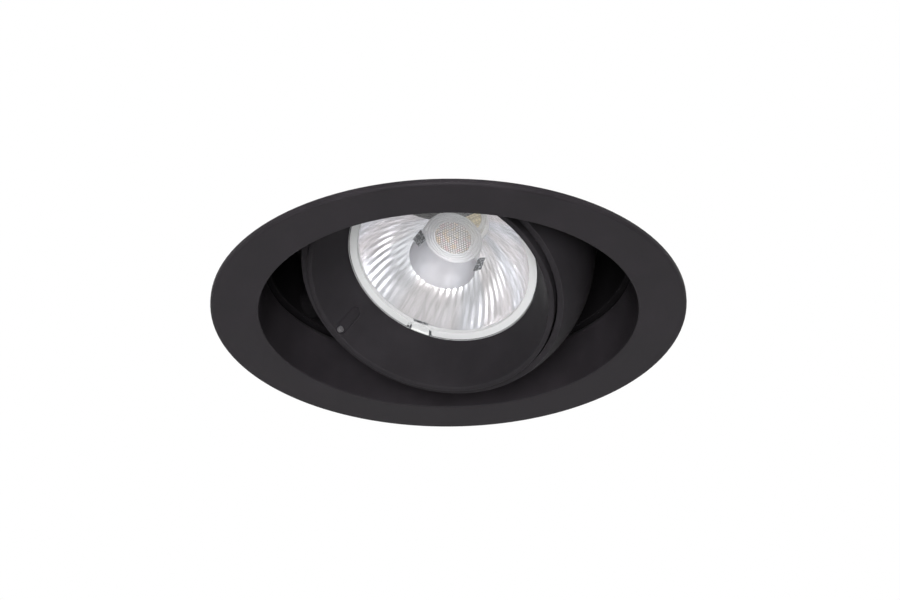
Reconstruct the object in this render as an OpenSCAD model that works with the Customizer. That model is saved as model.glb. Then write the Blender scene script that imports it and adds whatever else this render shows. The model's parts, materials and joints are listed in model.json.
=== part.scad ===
// Recessed adjustable soffit downlight: a fixed bezel, a cradle that pans and a ball head that tilts.
// The origin is the centre of the bezel on the ceiling plane. +Z points up into the ceiling void,
// and the tilt axis lies along X. Every length is in millimetres and every angle in degrees.

/* [Optic] */
// Outer diameter of the moulded lens
lens_d = 75; // [71:0.5:78]
// Thickness of the lens rim
lens_rim_t = 2.5; // [2:0.1:3.5]
// Depth of the lens body behind its front face
lens_depth = 28.1; // [26.5:0.1:29.5]
// Diameter of the well's mouth in the lens face
well_d = 26; // [22:0.5:30]
// Depth of the well in the lens face
well_depth = 15.6; // [12:0.1:17]
// Diameter of the small centre lens on the floor of the well
centre_lens_d = 13.4; // [10:0.2:16]
// Diameter of the light emitting surface
emitter_d = 14; // [11:0.5:16]
// Side of the square circuit board
board_w = 24; // [20:0.5:25]

/* [Baffle and ball] */
// Angle that the head is tilted from level
head_tilt = 27; // [0:1:30]
// Depth of the baffle cone in front of the lens
baffle_h = 18.1; // [14:0.1:20]
// Wall thickness of the baffle cone
baffle_wall = 2; // [1.6:0.1:2.4]
// Width of the baffle's front lip
baffle_lip_w = 2.2; // [1.8:0.1:3]
// Distance that the baffle stands out of the ball
baffle_proud = 2.7; // [1.5:0.1:3.5]
// Radial width of the groove between baffle and ball
groove_w = 0.7; // [0.4:0.1:1]
// Outer radius of the ball
ball_r = 55.8; // [54.5:0.1:57.5]
// Distance from the tilt axis to the ball's rim
ball_rim_depth = 24.3; // [23:0.1:26]
// Wall thickness of the ball
ball_wall = 2; // [1.6:0.1:2.4]
// Depth of the head from the pivot to the heat sink
ball_back = 24; // [23:0.1:25]

/* [Bezel] */
// Distance that the flange laps over the cut-out's edge
flange_lap = 5.5; // [5:0.1:16]
// Thickness of the flange
flange_t = 2.4; // [2:0.1:3.5]
// Radius on the flange's outer front edge
flange_edge_r = 1.1; // [0.6:0.1:1.6]
// Height of the throat from the flange's front to its ledge
throat_h = 20.8; // [20:0.1:24]
// Gain in the throat's radius from ledge to flange
throat_taper = 1; // [0.4:0.1:1.6]
// Wall thickness of the throat's collar
collar_wall = 2.1; // [1.8:0.1:2.6]
// Wall thickness of the recess that holds the cradle
recess_wall = 2.2; // [1.8:0.1:3]
// Free height of the gasket above the flange's back
gasket_proud = 0.3; // [0.2:0.05:0.8]
// Width of the gasket
gasket_w = 3.2; // [2.4:0.1:3.6]
// Depth of the gasket's groove
gasket_groove = 1.2; // [0.8:0.1:1.5]

/* [Cradle] */
// Gap between the ball and the cradle's wall
side_gap = 11.7; // [11:0.1:15]
// Wall thickness of the cradle
cradle_wall = 2.5; // [2:0.1:3]
// Height of the cradle
cradle_h = 30; // [24:0.5:31]
// Radial width of the cradle's lip
cradle_lip_w = 5.2; // [4.6:0.1:6]
// Thickness of the cradle's lip
cradle_lip_t = 2.4; // [1.8:0.1:2.8]
// Thickness of the nylon ring that the cradle turns on
glide_t = 1.6; // [1.2:0.1:2.2]
// Thickness of the plates that hold the cradle down
keeper_t = 1.6; // [1.2:0.1:2.2]
// Width of each of those plates
keeper_w = 14; // [10:0.5:18]
// Height of the tilt axis above the cradle's foot
pivot_rise = 7.5; // [7.2:0.1:9]
// Radius of the shoulder that the head tilts on
pivot_r = 3; // [2.6:0.1:3.2]
// Angular width of each turning stop
stop_angle = 2.4; // [1.6:0.2:4]
// Thickness of the friction washer at each pivot
friction_washer_t = 0.8; // [0.5:0.1:0.9]

/* [Heat sink] */
// Thickness of the heat sink's base plate
sink_plate_t = 6; // [5:0.5:8]
// Height of the fins above the plate
fin_h = 30; // [24:1:32]
// Number of fins
fin_count = 24; // [24:12:36]
// Thickness of a fin
fin_t = 1.8; // [1.2:0.1:2]
// Radius of the solid core between the fins
core_r = 13; // [11:0.5:15]
// Radius that the fins reach
fin_r = 46; // [44:0.5:47]

/* [Cable gland] */
// Bore of the gland's seal
cable_bore_r = 3.5; // [2.5:0.1:3.8]
// Radius of the gland's thread
gland_r = 6; // [5.6:0.1:6.2]
// Distance of the gland from the head's axis
gland_offset = 29; // [29:0.2:30]

/* [Spring clips] */
// Distance of the clip's pin from the collar
clip_pin_offset = 5.1; // [4.8:0.1:5.4]
// Length of the arm beyond its pin
clip_arm_l = 35; // [28:1:42]
// Width of the arm at its root
clip_arm_w = 14; // [12:0.5:15]
// Thickness of the arm's steel
clip_arm_t = 1; // [0.8:0.1:1]
// Diameter of the spring wire
wire_d = 0.9; // [0.7:0.05:0.95]
// Mean radius of the spring's coil
coil_r = 2.45; // [2.3:0.05:2.45]
// Distance between neighbouring turns of the spring
coil_pitch = 1.45; // [1.42:0.01:1.5]
// Number of full turns in the spring
coil_turns = 6; // [4:1:6]

/* [Hidden] */
$fn = 96;

// Clearances
run_gap = 0.3;      // between parts that move past each other
slip_gap = 0.05;    // between a running shaft and its bore
fit_gap = 0.3;      // between a moulding and its pocket
thread_gap = 0.05;  // between a screw and its hole
eps = 0.01;         // overcut of a tool past the face that it opens

// Colours
black_paint = [0.13, 0.125, 0.13];
black_plastic = [0.09, 0.09, 0.095];
white_plastic = [0.86, 0.86, 0.84];
rubber_black = [0.07, 0.07, 0.07];
steel = [0.62, 0.63, 0.65];
brass = [0.74, 0.6, 0.33];
clear_lens = [0.88, 0.9, 0.93];

// Radii of the optic and the baffle
lens_r = lens_d / 2;
lens_bite = 0.7;
rim_z = -ball_rim_depth;
ball_in_r = ball_r - ball_wall;
ball_mouth_r = sqrt(ball_in_r * ball_in_r - rim_z * rim_z);
baffle_out_r = ball_mouth_r - groove_w;
baffle_mouth_r = baffle_out_r - baffle_lip_w;
baffle_throat_r = lens_r - lens_bite;
baffle_flare = baffle_mouth_r - baffle_throat_r;

// Heights in the head, from the pivot: negative towards the mouth, positive towards the heat sink
baffle_front_z = rim_z - baffle_proud;
baffle_back_z = baffle_front_z + baffle_h;
lens_gasket_t = 0.6;
lens_face_z = baffle_back_z + lens_gasket_t;
lens_seat_z = lens_face_z + lens_rim_t;
lens_back_z = lens_face_z + lens_depth;
baffle_flange_t = 2;
baffle_flange_w = 6.2;
baffle_flange_r = baffle_throat_r + baffle_flange_w;
baffle_edge_r = 0.5;
baffle_skirt_h = 4.8;
baffle_skirt_step = 1;
boss_floor = 0.4;
catch_turn = 176;
catch_w = 4.4;
catch_h = 8.4;
catch_deep = 1.3;
catch_rise = 2;
catch_z = baffle_front_z + catch_rise;
catch_r = 1.2;
catch_l = 1;

// Lens
rim_shoulder = 1.9;
lens_foot_r = 10.8;
lens_cavity_r = 9;
lens_cavity_top_r = 8.2;
lens_cavity_dome = 1;
centre_lens_rise = 0.8;
centre_lens_t = 5.2;
centre_lens_steps = 4;
well_draft = 1.6;
tir_bulge_in = 6.5;
tir_bulge_h = 17.8;
tir_bulge = [lens_r - tir_bulge_in, lens_seat_z + tir_bulge_h];
tir_steps = 12;
lens_key_turn = 137;
lens_key_w = 9;
lens_key_deep = 1.5;

// Lens holder
holder_lip = 1.6;
screw_tip_gap = 0.6;
gasket_setback = 0.2;
holder_r = baffle_flange_r + gasket_setback * 2;
holder_t = 1.7;
leg_r = 2.2;
leg_offset = lens_r + 1;
leg_turns = [90, 210, 330];
baffle_screw_r = 1.25;
baffle_screw_turns = [30, 150, 270];
baffle_screw_offset = baffle_flange_r - 2;
baffle_screw_l = 8;
baffle_boss_h = baffle_screw_l - lens_rim_t - holder_t - lens_gasket_t + screw_tip_gap;
small_head_r = 2.2;
small_head_t = 1.4;

// Light source
pad_t = 0.3;
board_t = 1;
emitter_t = 0.6;
emitter_gap = 1.6;
led_holder_r = 19;
led_holder_t = 3.5;
window_flare = 1.6;
led_screw_offset = 15.5;
led_screw_r = 1.5;
led_screw_head_r = 2.6;
led_screw_head_t = 1.4;
led_screw_l = 7;
led_hole_l = led_screw_l - led_holder_t + led_screw_head_t + screw_tip_gap;

// Terminal block and leads
terminal_turn = -50;
terminal_size = [8, 12, 8];
terminal_setback = 5.5;
terminal_offset = leg_offset - terminal_setback;
terminal_screw_r = 1.3;
terminal_screw_rise = 0.3;
terminal_screw_l = 3;
terminal_face_z = ball_back - terminal_size[2];
lead_r = 0.75;
lead_spread = 2.6;
lead_z = ball_back - 1.9;

// Ball's rear flange and heat sink
rear_flange_r = leg_offset + leg_r + run_gap;
rear_flange_t = 2.5;
seat_bury = 0.5;
sink_r = sqrt(ball_r * ball_r - ball_back * ball_back);
sink_screw_offset = sink_r - 4;
sink_screw_turns = [45, 135, 225, 315];
sink_screw_r = 1.5;
sink_screw_l = 13;
sink_head_r = 2.75;
sink_head_t = 2;
sink_boss_r = 3.1;
sink_boss_h = 7;
seal_w = 2.4;
seal_t = 0.8;
seal_edge = 0.9;
seal_in_r = rear_flange_r + seal_edge;
fin_chamfer = 5;
fin_gap = 0.05;
core_chamfer = 1;
plate_chamfer = 2;
fin_turn = 180 / fin_count;
sink_top = ball_back + sink_plate_t + fin_h;

// Gland, in the head: heights above the plate's outer face
plate_top = ball_back + sink_plate_t;
gland_hex_r = gland_r + 3.6;
gland_hex_h = 4;
gland_bore_r = cable_bore_r + 0.7;
gland_stem_r = gland_r + 0.6;
gland_stem_h = 11;
gland_seat_h = 5;
gland_stem_wall = 1.3;
gland_seal_r = gland_stem_r - gland_stem_wall;
gland_seal_h = 8;
gland_nut_r = gland_r + 2.9;
gland_nut_h = 3;
gland_cap_r = gland_stem_r + 2;
gland_cap_wall = 2.4;
gland_cap_base = 5.4;
gland_cap_chamfer = 2.4;
gland_cap_shoulder = 3;
gland_cap_gap = 0.6;
gland_flat_deep = 0.5;
gland_flat_h = 5;

// Cradle, glide ring and keeper plates
cradle_in_r = ball_r + side_gap;
cradle_r = cradle_in_r + cradle_wall;
cradle_lip_r = cradle_r + cradle_lip_w;
stop_reach = 1.5;
cradle_chamfer = 0.6;
foot_chamfer = 0.4;
recess_r = cradle_lip_r + stop_reach + run_gap;
glide_in_r = cradle_r + 2 * run_gap;
glide_out_r = cradle_lip_r - run_gap;
keeper_in_x = cradle_r + 3;
shell_r = recess_r + recess_wall;

// Bezel
throat_r = cradle_in_r + 1.8;
throat_front_r = throat_r + throat_taper;
collar_r = throat_front_r + collar_wall;
boss_r = 2.7;
boss_out = 2.4;
boss_relief = 0.1;
boss_offset = recess_r + boss_out;
cut_out_r = boss_offset + boss_r + 0.4;
flange_r = cut_out_r + flange_lap;
gasket_in_r = cut_out_r + 1.1;
back_z = -gasket_proud;
front_z = back_z - flange_t;
ledge_z = front_z + throat_h;
cradle_foot_z = ledge_z + glide_t + run_gap;
lip_top_z = cradle_foot_z + cradle_lip_t;
cradle_top_z = cradle_foot_z + cradle_h;
shell_top_z = lip_top_z + run_gap;
keeper_top_z = shell_top_z + keeper_t;
pivot_z = cradle_foot_z + pivot_rise;
ledge_t = 3;
flare_h = 2.4;
flare_z = ledge_z - ledge_t - flare_h;
inner_edge_r = 0.45;
back_edge_r = 0.3;
keeper_screw_r = 1.25;
keeper_head_r = 2.3;
keeper_head_t = 1.6;
keeper_screw_l = 9;
boss_turns = [30, 150, 270];
bezel_stop_turn = 90;
cradle_stop_turn = -90;

// Tilt pivots, along X from the bezel's axis
pivot_boss_r = 5.6;
pivot_boss_x = ball_r + 1.2;
cradle_boss_r = 6.4;
cradle_boss_x = pivot_boss_x + friction_washer_t + 0.4;
bush_r = pivot_r + 1;
insert_r = 2.8;
insert_l = 8;
boss_back_wall = 1;
bush_setback = 0.6;
pivot_thread_r = 2;
pivot_thread_l = 6;
pivot_head_r = 4.5;
pivot_head_t = 2;
pivot_head_x = cradle_r + run_gap;
hex_socket_r = 2.2;
hex_socket_deep = 1.2;

// Clips
clip_turns = [90, 210, 330];
clip_pin_x = collar_r + clip_pin_offset;
clip_pin_z = flare_z - 4.3;
bracket_w = 22;
clip_pad_w = bracket_w + 2;
clip_pad_bury = 0.6;
clip_pad_x = collar_r + 1;
clip_pad_top = clip_pin_z + 4;
bracket_t = 0.8;
bracket_foot_z = 0.6;
bracket_lip_w = 15.2;
bracket_lip_x = clip_pin_x + 3.7;
bracket_ear_t = 1;
bracket_ear_r = 3.1;
bracket_ear_h = 7.2;
clip_pin_r = 1.25;
clip_pin_head_r = 2;
clip_pin_head_t = 0.8;
coil_lift = 0.1;
arm_z = clip_pin_z - coil_r - wire_d / 2 - coil_lift - clip_arm_t;
arm_lift = 0.6;
bracket_lip_z = arm_z - arm_lift - bracket_t;
arm_root_x = clip_pin_x + 1.9;
arm_root_l = 9;
arm_side_gap = 0.8;
arm_ear_out = bracket_w / 2 - bracket_ear_t - arm_side_gap;
arm_ear_t = 1;
arm_ear_l = 6;
arm_neck_l = 2;
arm_tip_chamfer = 2;
arm_eye_r = 2.6;
arm_tip_w = 9;
arm_bead_w = 3;
arm_bead_h = 0.8;
sleeve_l = 10;
clip_tip_x = clip_pin_x + clip_arm_l;
sleeve_t = 0.6;
sleeve_gap = 0.35;
rivet_r = 0.8;
rivet_head_r = 1.4;
rivet_head_t = 0.6;
rivet_y = 6.6;
rivet_z = clip_pin_z + 2.4;
rivet_l = 2;

// Spring wire: rings around a turn, sides of the wire, and lengths of its two straight legs
coil_rings = 8;
wire_sides = 6;
bracket_leg_l = 3.4;
arm_leg_l = 9;

// Points on an arc about c from angle a0 to a1
function arc(c, r, a0, a1, n) = [for (i = [0:n])
    let (a = a0 + (a1 - a0) * i / n) c + r * [cos(a), sin(a)]];

// Point at share t of a curve from a to b that is drawn towards c
function bend(a, c, b, t) = (1 - t) * (1 - t) * a + 2 * t * (1 - t) * c + t * t * b;

// Radius of the baffle's inner face at height z
function baffle_r_at(z) = baffle_throat_r + baffle_flare * (baffle_back_z - z) / baffle_h;

// Puts a child at the head's place and tilt
module in_head() {
    translate([0, 0, pivot_z]) rotate([-head_tilt, 0, 0]) children();
}

// Puts a child at each of some turns about Z, at a radius
module around(turns, offset) {
    for (a = turns) rotate([0, 0, a]) translate([offset, 0, 0]) children();
}

// Puts a child along X at both tilt pivots, with its Z pointing outwards
module at_pivots() {
    for (side = [0, 180]) rotate([0, 0, side]) rotate([0, 90, 0]) children();
}

// Flat ring from height z0 to z1
module ring(r_in, r_out, z0, z1) {
    difference() {
        translate([0, 0, z0]) cylinder(r = r_out, h = z1 - z0);
        translate([0, 0, z0 - eps]) cylinder(r = r_in, h = z1 - z0 + 2 * eps);
    }
}

// Screw with a socket head: the head stands on z = 0 and the shank runs down
module screw(shank_r, shank_l, head_r, head_t) {
    difference() {
        union() {
            cylinder(r = head_r, h = head_t, $fn = 48);
            translate([0, 0, -shank_l]) cylinder(r = shank_r, h = shank_l + eps, $fn = 32);
        }
        translate([0, 0, head_t * 0.4]) cylinder(r = head_r * 0.45, h = head_t, $fn = 6);
    }
}

// ---- Fixed bezel ----

module trim_ring() {
    color(black_paint) difference() {
        union() {
            rotate_extrude() polygon(concat(
                [[throat_front_r + inner_edge_r, front_z]],
                arc([flange_r - flange_edge_r, front_z + flange_edge_r], flange_edge_r, -90, 0, 6),
                arc([flange_r - back_edge_r, back_z - back_edge_r], back_edge_r, 0, 90, 3),
                [[gasket_in_r + gasket_w, back_z], [gasket_in_r + gasket_w, back_z - gasket_groove],
                    [gasket_in_r, back_z - gasket_groove], [gasket_in_r, back_z],
                    [collar_r, back_z], [collar_r, flare_z],
                    [shell_r, ledge_z - ledge_t], [shell_r, shell_top_z], [recess_r, shell_top_z],
                    [recess_r, ledge_z], [throat_r, ledge_z]],
                arc([throat_front_r + inner_edge_r, front_z + inner_edge_r], inner_edge_r, 180, 270, 4)));
            difference() {
                around(boss_turns, boss_offset) translate([0, 0, flare_z])
                    cylinder(r = boss_r, h = shell_top_z - boss_relief - flare_z, $fn = 48);
                translate([0, 0, ledge_z]) cylinder(r = recess_r + recess_wall / 2, h = shell_top_z);
            }
            around([bezel_stop_turn], 0) bezel_stop();
            around(clip_turns, 0) clip_pad();
        }
        around(boss_turns, boss_offset) translate([0, 0, shell_top_z - keeper_screw_l])
            cylinder(r = keeper_screw_r + thread_gap, h = keeper_screw_l + eps, $fn = 32);
        around(clip_turns, clip_pad_x - rivet_l) rivet_holes(rivet_r + thread_gap, rivet_l + eps);
    }
}

// Lug in the recess that the cradle's lug meets
module bezel_stop() {
    intersection() {
        ring(cradle_lip_r + run_gap, recess_r + recess_wall / 2, ledge_z - eps, shell_top_z);
        stop_wedge(recess_r + recess_wall);
    }
}

// Thin wedge about the X axis that bounds a turning stop
module stop_wedge(reach) {
    half_w = reach * tan(stop_angle / 2);
    linear_extrude(shell_top_z) polygon([[0, 0], [reach, -half_w], [reach, half_w]]);
}

// Flat pad on the collar that a clip's bracket is riveted to
module clip_pad() {
    inner_x = throat_front_r + clip_pad_bury;
    translate([inner_x, -clip_pad_w / 2, back_z - eps])
        cube([clip_pad_x - inner_x, clip_pad_w, clip_pad_top - back_z + eps]);
}

// The two rivet holes of a clip, along X from x = 0
module rivet_holes(r, l) {
    for (y = [-rivet_y, rivet_y]) translate([0, y, rivet_z]) rotate([0, 90, 0])
        cylinder(r = r, h = l, $fn = 32);
}

module ceiling_gasket() {
    color(rubber_black) ring(gasket_in_r, gasket_in_r + gasket_w, back_z - gasket_groove, 0);
}

module glide_ring() {
    color(black_plastic) ring(glide_in_r, glide_out_r, ledge_z, ledge_z + glide_t);
}

module keeper_plates() {
    color(steel) around(boss_turns, 0) difference() {
        hull() {
            translate([keeper_in_x, -keeper_w / 2, shell_top_z])
                cube([shell_r - keeper_in_x, keeper_w, keeper_t]);
            translate([boss_offset, 0, shell_top_z]) cylinder(r = boss_r, h = keeper_t, $fn = 48);
        }
        translate([boss_offset, 0, shell_top_z - eps])
            cylinder(r = keeper_screw_r + fit_gap, h = keeper_t + 2 * eps, $fn = 32);
    }
}

module keeper_screws() {
    color(steel) around(boss_turns, boss_offset) translate([0, 0, keeper_top_z])
        screw(keeper_screw_r, keeper_screw_l - 1 + keeper_t, keeper_head_r, keeper_head_t);
}

// ---- Cradle that pans ----

module cradle_ring() {
    color(black_paint) difference() {
        union() {
            rotate_extrude() polygon([
                [cradle_in_r + foot_chamfer, cradle_foot_z], [cradle_lip_r, cradle_foot_z],
                [cradle_lip_r, lip_top_z], [cradle_r, lip_top_z], [cradle_r, cradle_top_z - cradle_chamfer],
                [cradle_r - cradle_chamfer, cradle_top_z], [cradle_in_r, cradle_top_z],
                [cradle_in_r, cradle_foot_z + foot_chamfer]]);
            translate([0, 0, pivot_z]) at_pivots() translate([0, 0, cradle_boss_x])
                cylinder(r = cradle_boss_r, h = cradle_in_r + cradle_wall / 2 - cradle_boss_x, $fn = 64);
            around([cradle_stop_turn], 0) cradle_stop();
        }
        translate([0, 0, pivot_z]) at_pivots() translate([0, 0, cradle_boss_x - eps])
            cylinder(r = bush_r, h = cradle_wall + cradle_r, $fn = 64);
    }
}

// Lug on the cradle's lip that meets the lug in the bezel
module cradle_stop() {
    intersection() {
        ring(cradle_lip_r - cradle_lip_w / 2, cradle_lip_r + stop_reach, cradle_foot_z, lip_top_z);
        stop_wedge(recess_r);
    }
}

module pivot_bushes() {
    color(white_plastic) translate([0, 0, pivot_z]) at_pivots()
        ring(pivot_r + slip_gap, bush_r, cradle_boss_x, cradle_r - bush_setback);
}

// ---- Head that tilts: pivots ----

module pivot_screws() {
    color(steel) in_head() at_pivots() difference() {
        union() {
            translate([0, 0, pivot_boss_x - pivot_thread_l])
                cylinder(r = pivot_thread_r, h = pivot_thread_l + eps, $fn = 32);
            translate([0, 0, pivot_boss_x])
                cylinder(r = pivot_r, h = pivot_head_x - pivot_boss_x + eps, $fn = 64);
            translate([0, 0, pivot_head_x]) cylinder(r = pivot_head_r, h = pivot_head_t, $fn = 64);
        }
        translate([0, 0, pivot_head_x + pivot_head_t - hex_socket_deep])
            cylinder(r = hex_socket_r, h = pivot_head_t, $fn = 6);
    }
}

module pivot_inserts() {
    color(brass) in_head() at_pivots()
        ring(pivot_thread_r + thread_gap, insert_r, pivot_boss_x - insert_l, pivot_boss_x);
}

module friction_washers() {
    color(steel) in_head() at_pivots()
        ring(pivot_r + thread_gap, pivot_boss_r, pivot_boss_x, pivot_boss_x + friction_washer_t);
}

// ---- Head that tilts: casing ----

module ball_shell() {
    color(black_paint) in_head() difference() {
        union() {
            difference() {
                intersection() {
                    sphere(r = ball_r, $fn = 128);
                    translate([0, 0, rim_z]) cylinder(r = ball_r, h = ball_back - rim_z);
                }
                sphere(r = ball_in_r, $fn = 128);
            }
            rotate_extrude() polygon([
                [rear_flange_r, ball_back - rear_flange_t], [sink_r - seat_bury, ball_back - rear_flange_t],
                [sink_r - seat_bury, ball_back], [rear_flange_r, ball_back]]);
            at_pivots() translate([0, 0, pivot_boss_x - insert_l - boss_back_wall])
                cylinder(r = pivot_boss_r, h = insert_l + boss_back_wall, $fn = 64);
            around(sink_screw_turns, sink_screw_offset) translate([0, 0, ball_back - sink_boss_h])
                cylinder(r = sink_boss_r, h = sink_boss_h, $fn = 48);
        }
        at_pivots() translate([0, 0, pivot_boss_x - insert_l])
            cylinder(r = insert_r, h = insert_l + eps, $fn = 64);
        around(sink_screw_turns, sink_screw_offset) translate([0, 0, ball_back - sink_boss_h - eps])
            cylinder(r = sink_screw_r + thread_gap, h = sink_boss_h + 2 * eps, $fn = 32);
        ring(seal_in_r, seal_in_r + seal_w, ball_back - seal_t, ball_back + eps);
        translate([0, 0, lens_face_z - run_gap])
            cylinder(r = holder_r + run_gap, h = lens_rim_t + holder_t + 2 * run_gap);
    }
}

module rear_seal() {
    color(rubber_black) in_head() ring(seal_in_r, seal_in_r + seal_w, ball_back - seal_t, ball_back);
}

module baffle() {
    flange_front_z = baffle_back_z - baffle_flange_t;
    step_z = baffle_front_z + baffle_skirt_h + baffle_skirt_step;
    color(black_paint) in_head() difference() {
        union() {
            rotate_extrude() polygon(concat(
                [[baffle_throat_r, baffle_back_z], [baffle_flange_r, baffle_back_z],
                    [baffle_flange_r, flange_front_z],
                    [baffle_r_at(flange_front_z) + baffle_wall, flange_front_z],
                    [baffle_r_at(step_z) + baffle_wall, step_z],
                    [baffle_out_r, step_z - baffle_skirt_step]],
                arc([baffle_out_r, baffle_front_z] + baffle_edge_r * [-1, 1], baffle_edge_r, 0, -90, 4),
                arc([baffle_mouth_r, baffle_front_z] + baffle_edge_r * [1, 1], baffle_edge_r, -90, -155, 3)));
            around(baffle_screw_turns, baffle_screw_offset) translate([0, 0, baffle_back_z - baffle_boss_h])
                cylinder(r = small_head_r, h = baffle_boss_h, $fn = 32);
        }
        around(baffle_screw_turns, baffle_screw_offset)
            translate([0, 0, baffle_back_z - baffle_boss_h + boss_floor])
            cylinder(r = baffle_screw_r + thread_gap, h = baffle_boss_h, $fn = 32);
        catch_pocket();
        rotate([0, 0, catch_turn]) catch_pin(catch_r + thread_gap, 0);
    }
}

// Finger notch inside the baffle's mouth, with the catch at its front end
module catch_pocket() {
    rotate([0, 0, catch_turn]) hull() for (z = [catch_z, catch_z + catch_h])
        translate([baffle_r_at(z) - 1, 0, z]) notch_end();
}

module notch_end() {
    rotate([0, 90, 0]) cylinder(r = catch_w / 2, h = 1 + catch_deep, $fn = 24);
}

// Pin pressed into the notch's floor, that stands out by some height
module catch_pin(r, rise) {
    floor_x = baffle_r_at(catch_z) + catch_deep;
    translate([floor_x - rise - eps, 0, catch_z]) rotate([0, 90, 0])
        cylinder(r = r, h = catch_l + rise, $fn = 32);
}

module baffle_catch() {
    color(steel) in_head() rotate([0, 0, catch_turn]) catch_pin(catch_r, catch_deep);
}

module baffle_screws() {
    color(steel) in_head() around(baffle_screw_turns, baffle_screw_offset)
        translate([0, 0, lens_seat_z + holder_t])
        screw(baffle_screw_r, baffle_screw_l, small_head_r, small_head_t);
}

// ---- Head that tilts: optic ----

module lens() {
    tir_top = [lens_r - rim_shoulder, lens_seat_z];
    tir_foot = [lens_foot_r, lens_back_z];
    floor_z = lens_face_z + well_depth;
    cavity_z = floor_z + centre_lens_t;
    color(clear_lens) in_head() difference() {
        rotate_extrude() polygon(concat(
            [for (i = [0:centre_lens_steps]) let (t = i / centre_lens_steps)
                [t * centre_lens_d / 2, floor_z - centre_lens_rise * (1 - t * t)]],
            [[well_d / 2 - well_draft, floor_z], [well_d / 2, lens_face_z],
                [lens_r, lens_face_z], [lens_r, lens_seat_z]],
            [for (i = [0:tir_steps]) bend(tir_top, tir_bulge, tir_foot, i / tir_steps)],
            [[lens_cavity_r, lens_back_z], [lens_cavity_top_r, cavity_z], [0, cavity_z - lens_cavity_dome]]));
        rotate([0, 0, lens_key_turn]) translate([lens_r - lens_key_deep, -lens_key_w / 2, lens_face_z - eps])
            cube([lens_key_deep + 1, lens_key_w, lens_rim_t + 2 * eps]);
    }
}

module lens_gasket() {
    gasket_out_r = baffle_screw_offset - small_head_r;
    color(rubber_black) in_head()
        ring(baffle_throat_r + gasket_setback, gasket_out_r, baffle_back_z, lens_face_z);
}

module lens_holder() {
    seat_in_r = lens_r - holder_lip;
    holder_back_z = lens_seat_z + holder_t;
    color(white_plastic) in_head() difference() {
        union() {
            rotate_extrude() polygon([
                [lens_r + fit_gap, lens_face_z], [holder_r, lens_face_z], [holder_r, holder_back_z],
                [seat_in_r, holder_back_z], [seat_in_r, lens_seat_z], [lens_r + fit_gap, lens_seat_z]]);
            around(leg_turns, leg_offset) translate([0, 0, holder_back_z - eps])
                cylinder(r = leg_r, h = ball_back - holder_back_z + eps, $fn = 32);
            intersection() {
                ring(lens_r - lens_key_deep + fit_gap, lens_r + 1, lens_face_z, lens_seat_z + eps);
                rotate([0, 0, lens_key_turn]) translate([0, -lens_key_w / 2 + fit_gap, lens_face_z - 1])
                    cube([holder_r, lens_key_w - 2 * fit_gap, lens_rim_t + 2]);
            }
        }
        around(baffle_screw_turns, baffle_screw_offset) translate([0, 0, lens_face_z - eps])
            cylinder(r = baffle_screw_r + fit_gap, h = lens_rim_t + holder_t + 2 * eps, $fn = 32);
        around(leg_turns, leg_offset) translate([0, 0, ball_back - baffle_screw_l])
            cylinder(r = baffle_screw_r + thread_gap, h = baffle_screw_l + eps, $fn = 32);
    }
}

module holder_screws() {
    color(steel) in_head() around(leg_turns, leg_offset) translate([0, 0, plate_top])
        screw(baffle_screw_r, sink_plate_t + baffle_screw_l - 1, small_head_r, small_head_t);
}

// ---- Head that tilts: light source ----

module thermal_pad() {
    color([0.72, 0.76, 0.8]) in_head() translate([-board_w / 2, -board_w / 2, ball_back - pad_t])
        cube([board_w, board_w, pad_t]);
}

module led_board() {
    color([0.92, 0.92, 0.9]) in_head() translate([-board_w / 2, -board_w / 2, ball_back - pad_t - board_t])
        cube([board_w, board_w, board_t]);
}

module led_emitter() {
    color([0.95, 0.82, 0.3]) in_head() translate([0, 0, ball_back - pad_t - board_t - emitter_t])
        cylinder(r = emitter_d / 2, h = emitter_t, $fn = 64);
}

module led_holder() {
    board_z = ball_back - pad_t - board_t;
    face_z = ball_back - led_holder_t;
    pocket = board_w + fit_gap;
    window_r = emitter_d / 2 + emitter_gap - window_flare / 2;
    color(white_plastic) in_head() difference() {
        translate([0, 0, face_z]) cylinder(r = led_holder_r, h = led_holder_t);
        translate([-pocket / 2, -pocket / 2, board_z]) cube([pocket, pocket, led_holder_t]);
        translate([0, 0, face_z - eps])
            cylinder(r1 = window_r + window_flare, r2 = window_r, h = led_holder_t, $fn = 64);
        around([0, 180], led_screw_offset) translate([0, 0, face_z - eps]) {
            cylinder(r = led_screw_r + thread_gap, h = led_holder_t + 2 * eps, $fn = 32);
            cylinder(r = led_screw_head_r + fit_gap, h = led_screw_head_t + eps, $fn = 32);
        }
    }
}

module led_holder_screws() {
    color(steel) in_head() around([0, 180], led_screw_offset)
        translate([0, 0, ball_back - led_holder_t + led_screw_head_t]) rotate([180, 0, 0])
        screw(led_screw_r, led_screw_l, led_screw_head_r, led_screw_head_t);
}

// ---- Head that tilts: wiring ----

module terminal_block() {
    color(white_plastic) in_head() rotate([0, 0, terminal_turn]) difference() {
        translate([terminal_offset - terminal_size[0] / 2, -terminal_size[1] / 2, terminal_face_z])
            cube(terminal_size);
        for (y = [-lead_spread, lead_spread]) translate([terminal_offset, y, terminal_face_z - eps])
            cylinder(r = terminal_screw_r + thread_gap, h = terminal_screw_l + 1, $fn = 24);
    }
}

module terminal_screws() {
    color(brass) in_head() rotate([0, 0, terminal_turn]) for (y = [-lead_spread, lead_spread])
        translate([terminal_offset, y, terminal_face_z + terminal_screw_rise])
        cylinder(r = terminal_screw_r, h = terminal_screw_l, $fn = 24);
}

module inner_leads() {
    lead_end = terminal_offset - terminal_size[0] / 2;
    color("firebrick") in_head() rotate([0, 0, terminal_turn]) for (y = [-lead_spread, lead_spread])
        translate([led_holder_r, y, lead_z]) rotate([0, 90, 0])
        cylinder(r = lead_r, h = lead_end - led_holder_r, $fn = 24);
}

// ---- Head that tilts: heat sink ----

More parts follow.
